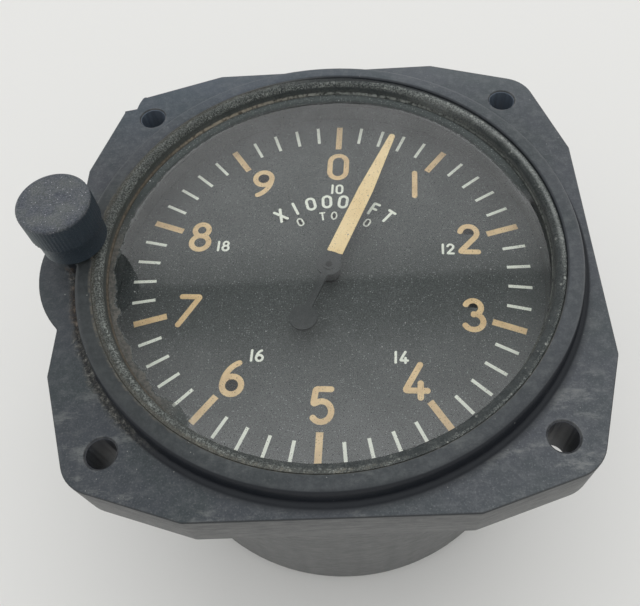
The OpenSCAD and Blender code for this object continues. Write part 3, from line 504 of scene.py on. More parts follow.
# Movement
# Turned aluminium pillars carry brass plates, and brass wheels run in them on steel arbors.
# Two bronze capsules on the base plate swell with height and lift the rocking shaft's arm.
alloy, wire = new_finish("turned_aluminium")
lathe = cloud(wire, 0.4 * mm, 3, 0.5, (0.4, 0.4, 6))
tone = cloud(wire, 3 * mm, 4, 0.5)
colour = mixed(tone, rgb(196, 198, 200), rgb(158, 160, 163))
lay_on(wire, colour, 0.30 + lathe * 0.2, lathe, 0.01 * mm, Metallic=1.0)

bronze, wire = new_finish("rolled_bronze")
tone = cloud(wire, 4 * mm, 5, 0.6)
x, y, z = parts_of(wire)
radius = (x * x + y * y) ** 0.5
rings_apart = 0.7 * mm
rings = wire.node("Math", {"operation": "SINE"}, {0: radius * (2 * math.pi / rings_apart)})
colour = mixed(step(tone, 0.3, 0.75), rgb(202, 168, 108), rgb(158, 118, 66))
lay_on(wire, colour, 0.24 + tone * 0.2, rings, 0.006 * mm, Metallic=1.0)

repaint(alloy, "base_plate", "long_pillars", "short_pillars", "dial_wheel", "dial_feet")
repaint(brass, "train_plate", "top_plate", "arbor_bushes", "rocker_brackets",
        "hairspring_stud", "capsule_stud", "capsule_nut", "staff_pinion", "hairspring_collet",
        "intermediate_wheel", "sector_gear", "drive_arm_plate", "lift_arm_plate",
        "balance_weight", "capsule_hub", "knob_pinion")
repaint(steel, "friction_washer", "hairspring", "intermediate_pinion", "intermediate_arbor",
        "sector_arbor", "sector_pin", "rocking_shaft", "bimetal_strip", "lift_pin", "link",
        "hub_pin", "knob_shaft", "knob_setscrew", "shaft_clip")

# The capsules are copied as one stack, shaded flat and given their finish. In the instrument their
# lower end is held by the base plate and their upper end lifts the hub.
stack = merged_copy("aneroid_capsules", "capsule_stack", whole_faces=False)
only(stack)
bpy.ops.object.shade_flat()
stack.data.materials.clear()
stack.data.materials.append(bronze)
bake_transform(stack)
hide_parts("aneroid_capsules")


# Knob
# The knob is a black phenolic turning with fine straight ribs and a smooth collar, held on
# its shaft by a set screw. Its top is slightly hollow and pitted all over by wear.
knob_low, knob_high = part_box("knob")
knob_x = (knob_low.x + knob_high.x) / 2
knob_y = (knob_low.y + knob_high.y) / 2
knob_r = (knob_high.y - knob_low.y) / 2
knob_head_h = 5.0 * mm
z_head = knob_high.z - knob_head_h
ribs = 60
rib_deep = 0.09 * mm
top_round = 0.48 * mm
collar_r = 5.1 * mm
collar_edge = 0.5 * mm
under_lip = 0.25 * mm
hollow = ((0.9 * mm, 0.05 * mm), (2.2 * mm, 0.15 * mm), (1.2 * mm, 0.05 * mm))

bpy.ops.object.select_all(action="DESELECT")
bpy.ops.mesh.primitive_cylinder_add(
    vertices=4 * ribs, radius=knob_r, depth=knob_head_h, end_fill_type="NGON",
    location=(knob_x, knob_y, z_head + knob_head_h / 2))
knob = bpy.context.object
knob.name = "ribbed_knob"
only(knob)
bpy.ops.object.transform_apply(location=True, rotation=True, scale=True)


def from_axis(spot):
    return math.hypot(spot.x - knob_x, spot.y - knob_y)


def top_edge(edge):
    """True for the edges between the knob's top and its flank."""
    ends = [knob.data.vertices[i].co for i in edge.vertices]
    return all(abs(end.z - knob_high.z) < 1e-5 and from_axis(end) > knob_r - 0.05 * mm for end in ends)


def rib_place(vertex):
    """Where a vertex stands on its rib: 0 on the crest, 2 in the groove, 1 and 3 between."""
    turn = math.atan2(vertex.co.y - knob_y, vertex.co.x - knob_x) / (2 * math.pi)
    return round(turn * 4 * ribs) % 4


pick(knob, "FACE", lambda face: face.normal.z > 0.9)
bpy.ops.mesh.inset(thickness=top_round + 0.02 * mm)
for width, dip in hollow:
    bpy.ops.mesh.inset(thickness=width)
    bpy.ops.transform.translate(value=(0, 0, -dip))
pick(knob, "FACE", lambda face: face.normal.z < -0.9)
bpy.ops.mesh.inset(thickness=under_lip)
narrowing = collar_r / (knob_r - under_lip)
bpy.ops.mesh.extrude_region_move(TRANSFORM_OT_translate={"value": (0, 0, -under_lip)})
bpy.ops.transform.resize(value=(narrowing, narrowing, 1), center_override=(knob_x, knob_y, 0))
collar_h = z_head - under_lip - collar_edge - knob_low.z
bpy.ops.mesh.extrude_region_move(TRANSFORM_OT_translate={"value": (0, 0, -collar_h)})
bpy.ops.mesh.extrude_region_move(TRANSFORM_OT_translate={"value": (0, 0, -collar_edge)})
narrowing = (collar_r - collar_edge) / collar_r
bpy.ops.transform.resize(value=(narrowing, narrowing, 1), center_override=(knob_x, knob_y, 0))
pick(knob, "EDGE", top_edge)
bpy.ops.mesh.bevel(offset=top_round, segments=5, affect="EDGES")
bpy.ops.object.mode_set(mode="OBJECT")
for at, deep in ((1, 0.55), (3, 0.55), (2, 1.0)):
    pick(knob, "VERT", lambda v: rib_place(v) == at and v.co.z < knob_high.z - 0.2 * mm
         and from_axis(v.co) > knob_r - 0.2 * mm)
    shrink = 1 - deep * rib_deep / knob_r
    bpy.ops.transform.resize(value=(shrink, shrink, 1), center_override=(knob_x, knob_y, 0))
bpy.ops.object.mode_set(mode="OBJECT")

worn_phenolic, wire = new_finish("worn_phenolic")
x, y, z = parts_of(wire)
pits = step(cloud(wire, 0.24 * mm, 5, 0.8), 0.44, 0.62)
tone = cloud(wire, 3 * mm, 6, 0.65)
top = step(z, knob_high.z - 0.75 * mm, knob_high.z - 0.3 * mm)
away = ((x - knob_x) ** 2 + (y - knob_y) ** 2) ** 0.5
brow = step(away, 4.3 * mm, 5.2 * mm) * top
bright = specks(wire, 0.45 * mm, 0.11 * mm, 0.7) * (0.1 + top * 0.5)
# The knob's left flank is painted lighter, a painted light, with the pits showing in it.
lit_left_flank = step(x, knob_x + 1.0 * mm, knob_x - 4.6 * mm)
colour = mixed(step(tone, 0.3, 0.7), rgb(16, 32, 44), rgb(28, 42, 52))
colour = mixed(lit_left_flank ** 1.6 * (1 - top) * (0.6 + pits * 0.3), colour, rgb(118, 126, 127))
top_tone = mixed(step(tone, 0.36, 0.64), rgb(56, 62, 72), rgb(80, 84, 83))
colour = mixed(top, colour, top_tone)
# The outer part of the knob's top is painted a little darker, a painted shade.
colour = mixed(brow * 0.35, colour, rgb(38, 47, 58))
colour = mixed(pits * (0.06 + top * 0.52), colour, rgb(130, 133, 138))
colour = mixed(bright, colour, rgb(206, 204, 212))
lay_on(wire, colour, 0.5 + pits * 0.2, pits + tone * 0.4, 0.03 * mm)

done(knob, worn_phenolic, "knob", 40)
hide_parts("knob")


# Dial
# The dial is a flat aluminium disc, painted charcoal. Its strokes and figures are thick
# paint, tan where it once glowed and off-white elsewhere, so each stands a little proud.
z_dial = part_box("dial")[1].z
dial_turned = math.radians(3.9)
paint_h = 0.035 * mm

charcoal, wire = new_finish("charcoal_paint")
x, y, z = parts_of(wire)
grain = cloud(wire, 0.2 * mm, 4, 0.75)
fade = cloud(wire, 9 * mm, 4, 0.55)
fine = specks(wire, 0.36 * mm, 0.11 * mm, 0.75)
lint = specks(wire, 2.6 * mm, 0.13 * mm, 0.4, shift=0.3)
# The dial's right-hand part and its near edge are painted lighter, a painted light.
lit_right_and_near = step(x - y * 0.2, 25 * mm, 35 * mm) * 0.8 + step(y, -29 * mm, -34 * mm) * 0.25
colour = mixed(fade, rgb(40, 44, 44), rgb(50, 54, 54))
colour = mixed(lit_right_and_near, colour, rgb(72, 76, 76))
colour = mixed(step(grain, 0.44, 0.66) * 0.75, colour, rgb(98, 102, 101))
colour = mixed(step(grain, 0.46, 0.3) * 0.7, colour, rgb(22, 25, 26))
colour = mixed(fine * 0.8, colour, rgb(152, 155, 154))
colour = mixed(lint * 0.7, colour, rgb(186, 187, 184))
lay_on(wire, colour, 0.7, grain, 0.006 * mm)
repaint(charcoal, "dial", "spacer_ring")

tan_paint, wire = new_finish("tan_figure_paint")
tone = cloud(wire, 2.4 * mm, 4, 0.6)
grain = cloud(wire, 0.25 * mm, 3, 0.7)
flaw = specks(wire, 1.2 * mm, 0.16 * mm, 0.5, flat=True)
colour = mixed(step(tone, 0.3, 0.75), rgb(238, 206, 158), rgb(216, 182, 136))
colour = mixed(step(grain, 0.5, 0.8) * 0.35, colour, rgb(190, 150, 108))
colour = mixed(flaw * 0.6, colour, rgb(120, 84, 56))
lay_on(wire, colour, 0.8, grain, 0.02 * mm)

white_paint, wire = new_finish("white_figure_paint")
tone = cloud(wire, 1.8 * mm, 4, 0.6)
flaw = specks(wire, 1.6 * mm, 0.15 * mm, 0.4, flat=True, shift=0.7)
colour = mixed(tone, rgb(250, 250, 238), rgb(236, 237, 224))
colour = mixed(flaw * 0.55, colour, rgb(120, 96, 84))
lay_on(wire, colour, 0.75, tone, 0.01 * mm)


def joined(pieces, name):
    """Several drawn strokes as one piece."""
    only(pieces[0])
    for piece in pieces[1:]:
        piece.select_set(True)
    if len(pieces) > 1:
        bpy.ops.object.join()
    pieces[0].name = name
    return pieces[0]


def copy_of(piece, matrix):
    twin = piece.copy()
    twin.data = piece.data.copy()
    twin.data.transform(matrix)
    scene.collection.objects.link(twin)
    return twin


def tick(width, inner_r, outer_r):
    """One stroke of the scale at twelve o'clock, a flat bar with softened edges."""
    bpy.ops.object.select_all(action="DESELECT")
    middle_z = z_dial + paint_h / 2
    bpy.ops.mesh.primitive_cube_add(size=1, location=(0, (inner_r + outer_r) / 2, middle_z))
    bar = bpy.context.object
    bar.scale = (width, outer_r - inner_r, paint_h)
    only(bar)
    bpy.ops.object.transform_apply(location=True, rotation=True, scale=True)
    corners = bar.data.vertices
    pick(bar, "EDGE", lambda edge: all(corners[i].co.z > middle_z for i in edge.vertices))
    bpy.ops.mesh.bevel(offset=0.02 * mm, segments=1, affect="EDGES")
    bpy.ops.object.mode_set(mode="OBJECT")
    return bar


scale_r = 32.75 * mm
strokes = 50
one_stroke = -2 * math.pi / strokes


def scale_of(name, width, inner_r, wanted, finish):
    first = tick(width, inner_r, scale_r)
    bars = [copy_of(first, Matrix.Rotation(i * one_stroke - dial_turned, 4, "Z"))
            for i in range(strokes) if (i % 5 == 0) == wanted]
    bpy.data.objects.remove(first)
    done(joined(bars, name), finish, "dial")


scale_of("hundreds_strokes", 0.55 * mm, 28.94 * mm, False, white_paint)
scale_of("thousands_strokes", 1.08 * mm, 27.34 * mm, True, tan_paint)


# Figures
# Each figure is drawn as a signwriter would, with one round brush, in few strokes. The
# large ones are thousands of feet on the first turn, the small ones those of the second.
half_w = 1.475
half_h = 2.625


def bow(cx, cy, rx, ry, start, end, count=14):
    """Points on an arc from one angle to another, in degrees."""
    turns = [math.radians(start + (end - start) * i / count) for i in range(count + 1)]
    return [(cx + rx * math.cos(a), cy + ry * math.sin(a)) for a in turns]


figure_strokes = {
    "0": [bow(0, half_h - half_w, half_w, half_w, 0, 180)
          + bow(0, half_w - half_h, half_w, half_w, 180, 360)],
    "1": [[(0, half_h), (0, -half_h)]],
    "2": [bow(0, half_h - 1.4, 1.4, 1.4, 170, -38) + [(-half_w, -half_h), (half_w, -half_h)]],
    "3": [bow(-0.08, 1.33, 1.25, 1.29, 155, -88), bow(-0.08, -1.21, 1.5, 1.41, 88, -152)],
    "4": [[(0.65, half_h + 0.15), (-half_w - 0.1, -1.5), (half_w + 0.25, -1.5)],
          [(0.72, -0.3), (0.72, -half_h)]],
    "5": [[(1.2, half_h), (-1.1, half_h), (-1.35, 0.2)] + bow(-0.1, -0.98, 1.5, 1.64, 125, -142)],
    "6": [bow(0, -1.15, half_w, half_w, 150, 510, 24)[:-1], bow(1.91, -1.15, 3.38, 3.99, 110, 178)],
    "7": [[(-half_w, half_h), (half_w, half_h), (-1.4, -half_h)]],
    "8": [bow(0, 1.4, 1.2, 1.22, -90, 270, 22)[:-1], bow(0, -1.2, half_w, 1.42, 90, 450, 24)[:-1]],
    "9": [bow(0, 1.15, half_w, half_w, -30, 330, 24)[:-1], bow(-1.91, 1.15, 3.38, 3.99, -70, -2)],
}
closed_figures = {"0": [0], "6": [0], "8": [0, 1], "9": [0], "O": [0]}
letter_strokes = {
    "O": [bow(0, 0, 1.5, half_h, 90, 450, 28)[:-1]],
    "F": [[(0.95, half_h), (-1.1, half_h), (-1.1, -half_h)], [(-1.1, 0.1), (0.7, 0.1)]],
    "T": [[(-1.35, half_h), (1.35, half_h)], [(0, half_h), (0, -half_h)]],
    "X": [[(-1.3, half_h), (1.3, -half_h)], [(1.3, half_h), (-1.3, -half_h)]],
}


def rounded_path(points, radius):
    """The points of a stroke, with each sharp bend turned into a short arc."""
    path = [Vector(points[0])]
    for before, here, after in zip(points, points[1:], points[2:]):
        here, into, away = Vector(here), Vector(here) - Vector(before), Vector(after) - Vector(here)
        if into.angle(away) < math.radians(30):
            path.append(here)
            continue
        start = here - into.normalized() * min(radius, into.length / 2)
        end = here + away.normalized() * min(radius, away.length / 2)
        for i in range(5):
            t = i / 4
            path.append(start * (1 - t) ** 2 + here * 2 * t * (1 - t) + end * t ** 2)
    return path + [Vector(points[-1])]


def brush(points, closed, scale, brush_w):
    """One brush stroke, a tube with round ends that is pressed flat afterwards."""
    points = [Vector(p) * scale for p in points]
    if not closed:
        points = rounded_path(points, brush_w * 0.35)
    sizes = [1.0] * len(points)
    if not closed:
        for end, inner in ((0, 1), (-1, -2)):
            out = (points[end] - points[inner]).normalized() * brush_w / 2
            tip = points[end]
            turns = [math.radians(a) for a in (80, 60, 40, 20)]
            cap = [(tip + out * math.sin(a), math.cos(a)) for a in turns]
            if end == 0:
                points = [p for p, s in cap] + points
                sizes = [s for p, s in cap] + sizes
            else:
                points = points + [p for p, s in reversed(cap)]
                sizes = sizes + [s for p, s in reversed(cap)]
    curve = bpy.data.curves.new("stroke", "CURVE")
    curve.dimensions = "3D"
    curve.bevel_depth = brush_w / 2
    curve.bevel_resolution = 3
    curve.use_fill_caps = True
    line = curve.splines.new("POLY")
    line.points.add(len(points) - 1)
    for spot, point, size in zip(line.points, points, sizes):
        spot.co = (point.x, point.y, 0, 1)
        spot.radius = size
    line.use_cyclic_u = closed
    stroke = bpy.data.objects.new("stroke", curve)
    scene.collection.objects.link(stroke)
    only(stroke)
    bpy.ops.object.convert(target="MESH")
    return bpy.context.object


def drawn(sign, scale, brush_w):
    """A figure or letter at the origin: its strokes joined into one solid and pressed flat."""
    lines = {**figure_strokes, **letter_strokes}[sign]
    loops = closed_figures.get(sign, [])
    tubes = [brush(line, i in loops, scale, brush_w) for i, line in enumerate(lines)]
    whole = tubes[0]
    for tube in tubes[1:]:
        only(whole)
        union = whole.modifiers.new("union", "BOOLEAN")
        union.operation = "UNION"
        union.solver = "EXACT"
        union.object = tube
        bpy.ops.object.modifier_apply(modifier="union")
        bpy.data.objects.remove(tube)
    only(whole)
    bpy.ops.object.mode_set(mode="EDIT")
    bpy.ops.mesh.select_all(action="SELECT")
    bpy.ops.mesh.bisect(plane_co=(0, 0, 0), plane_no=(0, 0, 1), use_fill=True, clear_inner=True)
    bpy.ops.mesh.select_all(action="SELECT")
    bpy.ops.mesh.normals_make_consistent(inside=False)
    bpy.ops.object.mode_set(mode="OBJECT")
    whole.data.transform(Matrix.Diagonal((1, 1, 2 * paint_h / brush_w, 1)))
    return whole


def set_down(sign, scale, brush_w, spot, tilt=0.0):
    """Draws a sign and lays it on the dial at a spot given in the dial's own frame."""
    piece = drawn(sign, scale, brush_w)
    piece.data.transform(Matrix.Translation((spot.x, spot.y, z_dial)) @ Matrix.Rotation(tilt, 4, "Z"))
    piece.data.transform(Matrix.Rotation(-dial_turned, 4, "Z"))
    return piece


def clock(degrees, radius):
    """A point on the dial, by its angle clockwise from the dial's zero."""
    turn = math.radians(90 - degrees)
    return Vector((math.cos(turn), math.sin(turn))) * radius


# Some of the large figures stand a little beside their even places.
large_brush = 0.95 * mm
figures_r = 23.7 * mm
figures_r_upright = 23.15 * mm
degrees_apart = 36
off_place = {
    0: (0.15, 0), 2: (0.38, 0.1), 3: (0.62, 0.06), 4: (0.05, 0.26),
    5: (0.1, 0), 6: (0, 0.08), 8: (-0.2, 0), 9: (0.77, 0)}
large_figures = []
for digit in range(10):
    out = figures_r_upright if digit in (0, 5) else figures_r
    middle = clock(degrees_apart * digit, out) + Vector(off_place.get(digit, (0, 0))) * mm
    large_figures.append(set_down(str(digit), mm, large_brush, middle))
done(joined(large_figures, "thousands_figures"), tan_paint, "dial", 60)

# Each small number is given with its angle in degrees and its distance from the centre.
small_brush = 0.4 * mm
small_scale = 0.343 * mm
first_aside = -0.8 * mm
second_aside = 0.45 * mm
second_turn = {
    "10": (0.6, 17.95), "12": (74.6, 20.1), "14": (141.9, 19.0),
    "16": (215, 18.5), "18": (286.3, 19.4)}
small_figures = []
for number, (turn, out) in second_turn.items():
    middle = clock(turn, out * mm)
    for sign, aside in zip(number, (first_aside, second_aside)):
        small_figures.append(set_down(sign, small_scale, small_brush, middle + Vector((aside, 0))))
done(joined(small_figures, "second_turn_figures"), white_paint, "dial", 60)


def legend(signs, radius, pitch, scale, brush_w):
    """Letters set on an arc above the centre, upright to it, pitch degrees apart."""
    first = -pitch * (len(signs) - 1) / 2
    made = []
    for i, sign in enumerate(signs):
        if sign != " ":
            turn = first + pitch * i
            made.append(set_down(sign, scale, brush_w, clock(turn, radius), math.radians(-turn)))
    return made


unit_legend = legend("X1000 FT", 15.2 * mm, 10.8, 0.46 * mm, 0.5 * mm)
unit_legend += legend("0 TO 20", 12.1 * mm, 9.5, 0.285 * mm, 0.32 * mm)
done(joined(unit_legend, "unit_legend"), white_paint, "dial", 60)


# Pointer
# The pointer is thin sheet metal, painted dull black on the hub and tail. Its blade has a
# thick coat of tan paint, brushed on up to a slightly ragged end near the hub.
pointer_way = math.radians(66.66)
blade_start = 2.5 * mm
coat_t = 0.1 * mm
pointer_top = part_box("pointer")[1].z

black_paint, wire = new_finish("dull_black_paint")
grain = cloud(wire, 0.25 * mm, 4, 0.7)
fine = specks(wire, 0.6 * mm, 0.06 * mm, 0.3, flat=True)
colour = mixed(step(grain, 0.4, 0.8), rgb(40, 43, 44), rgb(62, 65, 66))
colour = mixed(fine * 0.4, colour, rgb(120, 120, 118))
lay_on(wire, colour, 0.6, grain, 0.02 * mm)
repaint(black_paint, "pointer", "pointer_hub")

coat = merged_copy("pointer", "pointer_coat")
along = Vector((math.cos(pointer_way), math.sin(pointer_way), 0))
upwards = Vector((0, 0, 1))
only(coat)
bpy.ops.object.mode_set(mode="EDIT")
for at, away in ((along * blade_start, along), (upwards * (pointer_top - coat_t), upwards)):
    bpy.ops.mesh.select_all(action="SELECT")
    bpy.ops.mesh.bisect(plane_co=at, plane_no=away, use_fill=True, clear_inner=True)
bpy.ops.mesh.select_all(action="SELECT")
bpy.ops.transform.translate(value=(0, 0, coat_t))
bpy.ops.object.mode_set(mode="OBJECT")


def at_blade_start(vertex):
    return abs(vertex.co.dot(along) - blade_start) < 1e-5


def across_blade(edge):
    """True for the two level edges in which the paint ends near the hub."""
    ends = [coat.data.vertices[i] for i in edge.vertices]
    return all(at_blade_start(end) for end in ends) and abs(ends[0].co.z - ends[1].co.z) < 1e-6


pick(coat, "EDGE", across_blade)
bpy.ops.mesh.subdivide(number_cuts=7)
pick(coat, "VERT", at_blade_start)
bpy.ops.transform.vertex_random(offset=0.12 * mm, uniform=0.0, normal=0.0, seed=5)
bpy.ops.object.mode_set(mode="OBJECT")

pointer_paint, wire = new_finish("tan_pointer_paint")
tone = cloud(wire, 4 * mm, 4, 0.6)
grain = cloud(wire, 0.3 * mm, 3, 0.7)
flaw = specks(wire, 0.8 * mm, 0.09 * mm, 0.7, flat=True)
colour = mixed(step(tone, 0.3, 0.75), rgb(248, 220, 170), rgb(236, 204, 150))
colour = mixed(step(grain, 0.5, 0.8) * 0.25, colour, rgb(212, 176, 116))
colour = mixed(flaw * 0.75, colour, rgb(92, 68, 40))
lay_on(wire, colour, 0.75, grain, 0.02 * mm)
done(coat, pointer_paint, "pointer")


# Gaskets and pointer staff
# A rubber gasket lies under the glass, and the knob's shaft turns in a rubber packing.
# The pointer's staff and its bushes are blackened by age.
rubber, wire = new_finish("aged_rubber")
tone = cloud(wire, 1.2 * mm, 5, 0.65)
colour = mixed(tone, rgb(34, 34, 34), rgb(58, 56, 52))
lay_on(wire, colour, 0.8, tone, 0.03 * mm)
repaint(rubber, "shaft_packing")

grey_rubber, wire = new_finish("grey_rubber")
tone = cloud(wire, 0.8 * mm, 5, 0.7)
colour = mixed(tone, rgb(44, 47, 47), rgb(66, 69, 68))
lay_on(wire, colour, 0.85, tone, 0.02 * mm)
repaint(grey_rubber, "glass_gasket")

blackened_steel, wire = new_finish("blackened_steel")
tone = cloud(wire, 0.6 * mm, 5, 0.65)
colour = mixed(tone, rgb(12, 14, 15), rgb(26, 28, 29))
lay_on(wire, colour, 0.6 + tone * 0.2, tone, 0.01 * mm, **{"Specular IOR Level": 0.2})
repaint(blackened_steel, "pointer_staff", "staff_bushes")


# Glass
# The window is a flat disc of clear glass. Its outer face has a thin haze, fine dust and a
# few hair scratches, with a grey film along its far edge and a ragged crust at its left.
glass_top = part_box("glass")[1].z

clear_glass, wire = new_finish("dusty_glass")
x, y, z = parts_of(wire)
outer_face = step(z, glass_top - 0.1 * mm, glass_top - 0.01 * mm)
haze = step(cloud(wire, 7 * mm, 5, 0.6), 0.3, 0.8)
radius = (x * x + y * y) ** 0.5
fine = specks(wire, 0.42 * mm, 0.1 * mm, 0.5, flat=True, shift=0.1)
coarse = specks(wire, 4.2 * mm, 0.18 * mm, 0.4, flat=True, shift=0.5)
hair = step(cloud(wire, 2.5 * mm, 2, 0.4, (1, 7, 1)), 0.73, 0.76)
ragged_in = (cloud(wire, 0.6 * mm, 5, 0.7) - 0.5) * (1.0 * mm)
film = step(radius + ragged_in, 32.2 * mm, 33.9 * mm) * step(y, 4 * mm, 20 * mm) * 0.5
islands = (cloud(wire, 4 * mm, 4, 0.6) - 0.5) * (4.0 * mm)
crust = step(radius + ragged_in * 0.8 + islands, 33.2 * mm, 33.7 * mm)
crust = crust * step(radius, 31.6 * mm, 32.4 * mm)
crust = crust * step(x, -18 * mm, -25 * mm) * step(y, 12 * mm, 2 * mm) * 0.8
specked = (fine * 0.25 + coarse * 0.45) * (1 - crust)
dust = (0.01 + haze * 0.025 + specked + hair * 0.05 + film + crust) * outer_face
slant = wire.node("LayerWeight", inputs={"Blend": 0.5}, output=1)
gloss = (slant ** 5 * 0.92 + 0.08) * outer_face
dusty = step(dust / (dust + gloss), 0.45, 0.75)
crumbs = step(cloud(wire, 0.5 * mm, 4, 0.7), 0.4, 0.6)
crust_tone = mixed(crumbs, rgb(66, 62, 57), rgb(104, 99, 91))
film_tone = mixed(crust, rgb(114, 121, 120), crust_tone)
grime = mixed(specked * 3, film_tone, rgb(170, 172, 170))
shader = lay_on(wire, mixed(dusty, (1, 1, 1, 1), grime), 0.03 + dusty * 0.6, Metallic=1 - dusty)
coated = Wire(wire.tree, shader.outputs[0])
through = wire.node("BsdfTransparent", inputs={"Color": (0.985, 0.995, 0.99, 1)})
seen = wire.node("MixShader", inputs={0: dust + gloss, 1: through, 2: coated})
wire.tree.links.new(seen.socket, wire.tree.nodes["Material Output"].inputs["Surface"])
repaint(clear_glass, "glass")


# Retaining ring
# A painted metal ring is pressed in over the glass. Its crown is pitted by corrosion. Old
# sealant shows as a thin bead where its inner lip meets the glass, and it fills the outer
# slope of the crown towards the left.
ring_low, ring_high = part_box("retaining_ring")
ring_out = 36.32 * mm
ring_in = 34.5 * mm
lip_w = 0.25 * mm
crown_mid = 35.35 * mm
outer_half = ring_out - crown_mid
inner_half = crown_mid - ring_in - lip_w
crown_h = 0.95 * mm
outer_h = 0.62 * mm
bead_top = 0.75 * mm
pitting = 0.05 * mm
filling = 0.08 * mm

ring_section = [(ring_in, ring_low.z), (ring_out, ring_low.z)]
for a in range(0, 181, 15):
    turn = math.radians(a)
    reach, fall = (outer_half, outer_h) if a < 90 else (inner_half, crown_h)
    ring_section.append((crown_mid + reach * math.cos(turn), ring_high.z - fall * (1 - math.sin(turn))))
ring_section += [(ring_in + lip_w * 0.8, bead_top + 0.1 * mm), (ring_in + lip_w * 0.5, bead_top),
                 (ring_in + lip_w * 0.15, bead_top - 0.25 * mm)]
bpy.ops.object.select_all(action="DESELECT")
bpy.ops.mesh.primitive_circle_add(vertices=len(ring_section), radius=mm, fill_type="NGON")
ring = bpy.context.object
ring.name = "worn_retaining_ring"
for vertex, (out, level) in zip(ring.data.vertices, ring_section):
    vertex.co = (out, 0, level)
only(ring)
bpy.ops.object.mode_set(mode="EDIT")
bpy.ops.mesh.select_all(action="SELECT")
bpy.ops.mesh.delete(type="ONLY_FACE")
bpy.ops.mesh.select_all(action="SELECT")
bpy.ops.mesh.spin(steps=300, angle=2 * math.pi, center=(0, 0, 0), axis=(0, 0, 1))
bpy.ops.mesh.select_all(action="SELECT")
bpy.ops.mesh.remove_doubles(threshold=1e-7)
bpy.ops.mesh.normals_make_consistent(inside=False)

# The crown is roughened, and its outer slope is filled a little more at each line to the left.
pick(ring, "VERT", lambda v: v.co.z > 1.9 * mm and v.co.xy.length < ring_out - 0.1 * mm)
bpy.ops.transform.vertex_random(offset=pitting, uniform=0.0, normal=1.0, seed=9)
bpy.ops.mesh.vertices_smooth(factor=0.4, repeat=1)
for filled in (36, 24, 12, 0, -12):
    pick(ring, "VERT", lambda v: v.co.x + v.co.y * 0.8 < filled * mm
         and v.co.xy.length > crown_mid + 0.55 * mm and 1.5 * mm < v.co.z < 2.9 * mm)
    bpy.ops.transform.translate(value=(0, 0, filling))
bpy.ops.object.mode_set(mode="OBJECT")

ring_paint, wire = new_finish("pitted_ring_paint")
x, y, z = parts_of(wire)
radius = (x * x + y * y) ** 0.5
pits = step(cloud(wire, 0.26 * mm, 5, 0.8), 0.44, 0.62)
clumps = specks(wire, 0.9 * mm, 0.34 * mm, 0.5) * step(cloud(wire, 0.3 * mm, 3, 0.6), 0.4, 0.55)
tone = cloud(wire, 2.2 * mm, 6, 0.65)
patch = step(cloud(wire, 3 * mm, 6, 0.7), 0.42, 0.6)
crown = step(z, 1.7 * mm, 2.4 * mm)
browner = step(x, 4 * mm, -26 * mm)
farther = step(y, 18 * mm, 30 * mm)
nearer = step(y, -20 * mm, -31 * mm)
to_right = step(x, 10 * mm, 24 * mm)
lower_right = step(x, 2 * mm, 14 * mm) * step(y, 2 * mm, -10 * mm)
# The crown's ridge, on a circle set off towards the near right, carries a painted highlight.
from_light = ((x - 0.6 * mm) ** 2 + (y + 0.6 * mm) ** 2) ** 0.5
ridge = step(abs(from_light - crown_mid), 0.5 * mm, 0.12 * mm)
slope_at = from_light + (radius - from_light) * browner
outer_slope = step(slope_at, crown_mid + 0.3 * mm, crown_mid + 0.65 * mm)
upper_right = step(x + y * 0.8, 16 * mm, 34 * mm)
settled = browner + nearer * step(x, 12 * mm, 2 * mm) * (1 - browner)
colour = mixed(step(tone, 0.35, 0.65), rgb(46, 52, 54), rgb(68, 73, 73))
colour = mixed(browner * 0.6, colour, mixed(tone, rgb(60, 63, 59), rgb(86, 88, 81)))
# Along the right the crest is painted bright, a painted highlight.
crest = step(abs(from_light - crown_mid + 0.25 * mm), 0.5 * mm, 0.1 * mm)
crest = crest * to_right * (1 - lower_right)
colour = mixed(crest * (0.25 + patch * 0.25 + pits * 0.4), colour, rgb(172, 175, 172))
# The pale pits are brightest on the ridge, to the right and on the far side, partly wear and partly
# painted highlight.
wear_and_highlight = 0.2 + patch * 0.15 + ridge * (0.3 + patch * 0.4 + to_right * 0.4)
wear_and_highlight = wear_and_highlight + browner * 0.3 + farther * (0.3 - browner * 0.3)
wear_and_highlight = wear_and_highlight * (1 - lower_right * 0.4) * (1 - outer_slope * upper_right * 0.8)
colour = mixed(pits * crown * wear_and_highlight, colour, rgb(168, 173, 168))
colour = mixed(step(pits, 0.3, 0.0) * crown * (0.1 + browner * 0.2), colour, rgb(30, 32, 30))
# The crumbs of corrosion are brighter on the ridge and to the right, a painted highlight on them.
colour = mixed(clumps * crown * (0.3 + ridge * 0.3 + to_right * 0.3), colour, rgb(190, 193, 186))
sand = step(cloud(wire, 0.4 * mm, 5, 0.75), 0.46, 0.58)
near_edge = step(radius, 35.5 * mm, 35.9 * mm) * nearer
colour = mixed(near_edge * settled * (0.1 + sand * patch * 0.7), colour, rgb(152, 149, 136))
outer_wall = step(radius, 36.3 * mm, 36.5 * mm) * (1 - upper_right)
colour = mixed(outer_wall * 0.5, colour, rgb(118, 116, 108))
colour = mixed(outer_slope * browner * 0.3, colour, rgb(86, 78, 66))
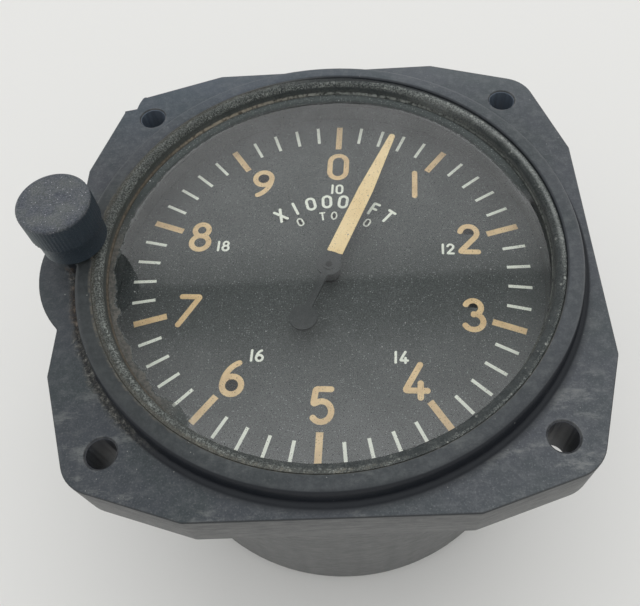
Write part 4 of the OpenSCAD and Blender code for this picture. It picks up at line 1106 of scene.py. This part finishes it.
# At the upper right the outer slope of the crown is painted dark, a painted shade.
colour = mixed(outer_slope * upper_right * 0.75, colour, rgb(20, 25, 29))
inner_edge = step(z, 1.9 * mm, 1.4 * mm) * step(z, bead_top, bead_top + 0.2 * mm)
colour = mixed(inner_edge * (1 - browner) * 0.5, colour, rgb(44, 50, 48))
colour = mixed(inner_edge * pits * (0.2 + to_right * 0.3), colour, rgb(150, 152, 146))
crumbly = step(cloud(wire, 0.7 * mm, 5, 0.7), 0.36, 0.56)
bead = step(abs(z - bead_top + 0.1 * mm), 0.22 * mm + crumbly * farther * (0.15 * mm), 0.1 * mm)
lip_tone = mixed(browner, rgb(42, 46, 44), rgb(84, 77, 66))
colour = mixed(step(z, bead_top + 0.3 * mm, bead_top), colour, lip_tone)
old_sealant = mixed(browner, rgb(160, 164, 158), rgb(122, 112, 98))
old_sealant = mixed(browner * farther, old_sealant, rgb(186, 176, 158))
shows = 1 - step(x, 8 * mm, 28 * mm) * 0.5
colour = mixed(bead * crumbly * shows * 0.9, colour, old_sealant)
lay_on(wire, colour, 0.4 + pits * 0.3 + browner * 0.15, pits + clumps * 0.6 + tone * 0.5, 0.09 * mm,
       **{"Specular IOR Level": 0.35})
done(ring, ring_paint, "root", 60)
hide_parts("retaining_ring")


# Table and light
# The instrument stands on a plain white table in a light room, under a broad soft lamp.
# The darker part of the room shows in the glass as a dim band.
table_z = cad_low.z
bpy.ops.object.select_all(action="DESELECT")
bpy.ops.mesh.primitive_circle_add(vertices=96, radius=3.0, fill_type="NGON", location=(0, 0, table_z))
table = bpy.context.object
table.name = "table"
white_table, wire = new_finish("white_table")
lay_on(wire, rgb(233, 232, 229), 0.7)
table.data.materials.append(white_table)

room = bpy.data.worlds.new("room")
room.use_nodes = True
scene.world = room
wire = Wire(room.node_tree)
way = wire.node("SeparateXYZ", inputs={"Vector": wire.node("TexCoord", output="Generated")})
x, y, z = (Wire(wire.tree, socket) for socket in way.socket.node.outputs)
soft_light = 0.72 + step(y * 0.5 + z * 0.6, -0.2, 0.9) * 0.2
lean = y / wire.sum("MAXIMUM", z, 0.001)
band = [
    (0.34, 1.2), (0.44, 0.8), (0.51, 0.55), (0.56, 0.28),
    (0.63, 0.14), (0.645, 0.45), (0.72, 0.8), (0.98, 1.1)]
stops = [(at, (level, level, level, 1)) for at, level in band]
mirrored = wire.node("ValToRGB", {"stops": stops}, {"Fac": lean})
rays = wire.node("LightPath").socket.node.outputs
to_camera, glossy = Wire(wire.tree, rays["Is Camera Ray"]), Wire(wire.tree, rays["Is Glossy Ray"])
level = soft_light + glossy * (mirrored - soft_light)
light = wire.node("Background", inputs={"Color": (0.985, 0.995, 1.0, 1), "Strength": level})
backdrop = wire.node("Background", inputs={"Color": rgb(226, 226, 224), "Strength": 1.0})
shown = wire.node("MixShader", inputs={0: to_camera, 1: light, 2: backdrop})
wire.tree.links.new(shown.socket, wire.tree.nodes["World Output"].inputs["Surface"])

bpy.ops.object.select_all(action="DESELECT")
bpy.ops.object.light_add(type="AREA", location=(0.1, 0.5, 1.1))
lamp = bpy.context.object
lamp.name = "lamp"
lamp.data.shape = "DISK"
lamp.data.size = 1.2
lamp.data.energy = 3
lamp.rotation_mode = "QUATERNION"
lamp.rotation_quaternion = (-lamp.location).to_track_quat("-Z", "Y")
lamp.visible_glossy = False
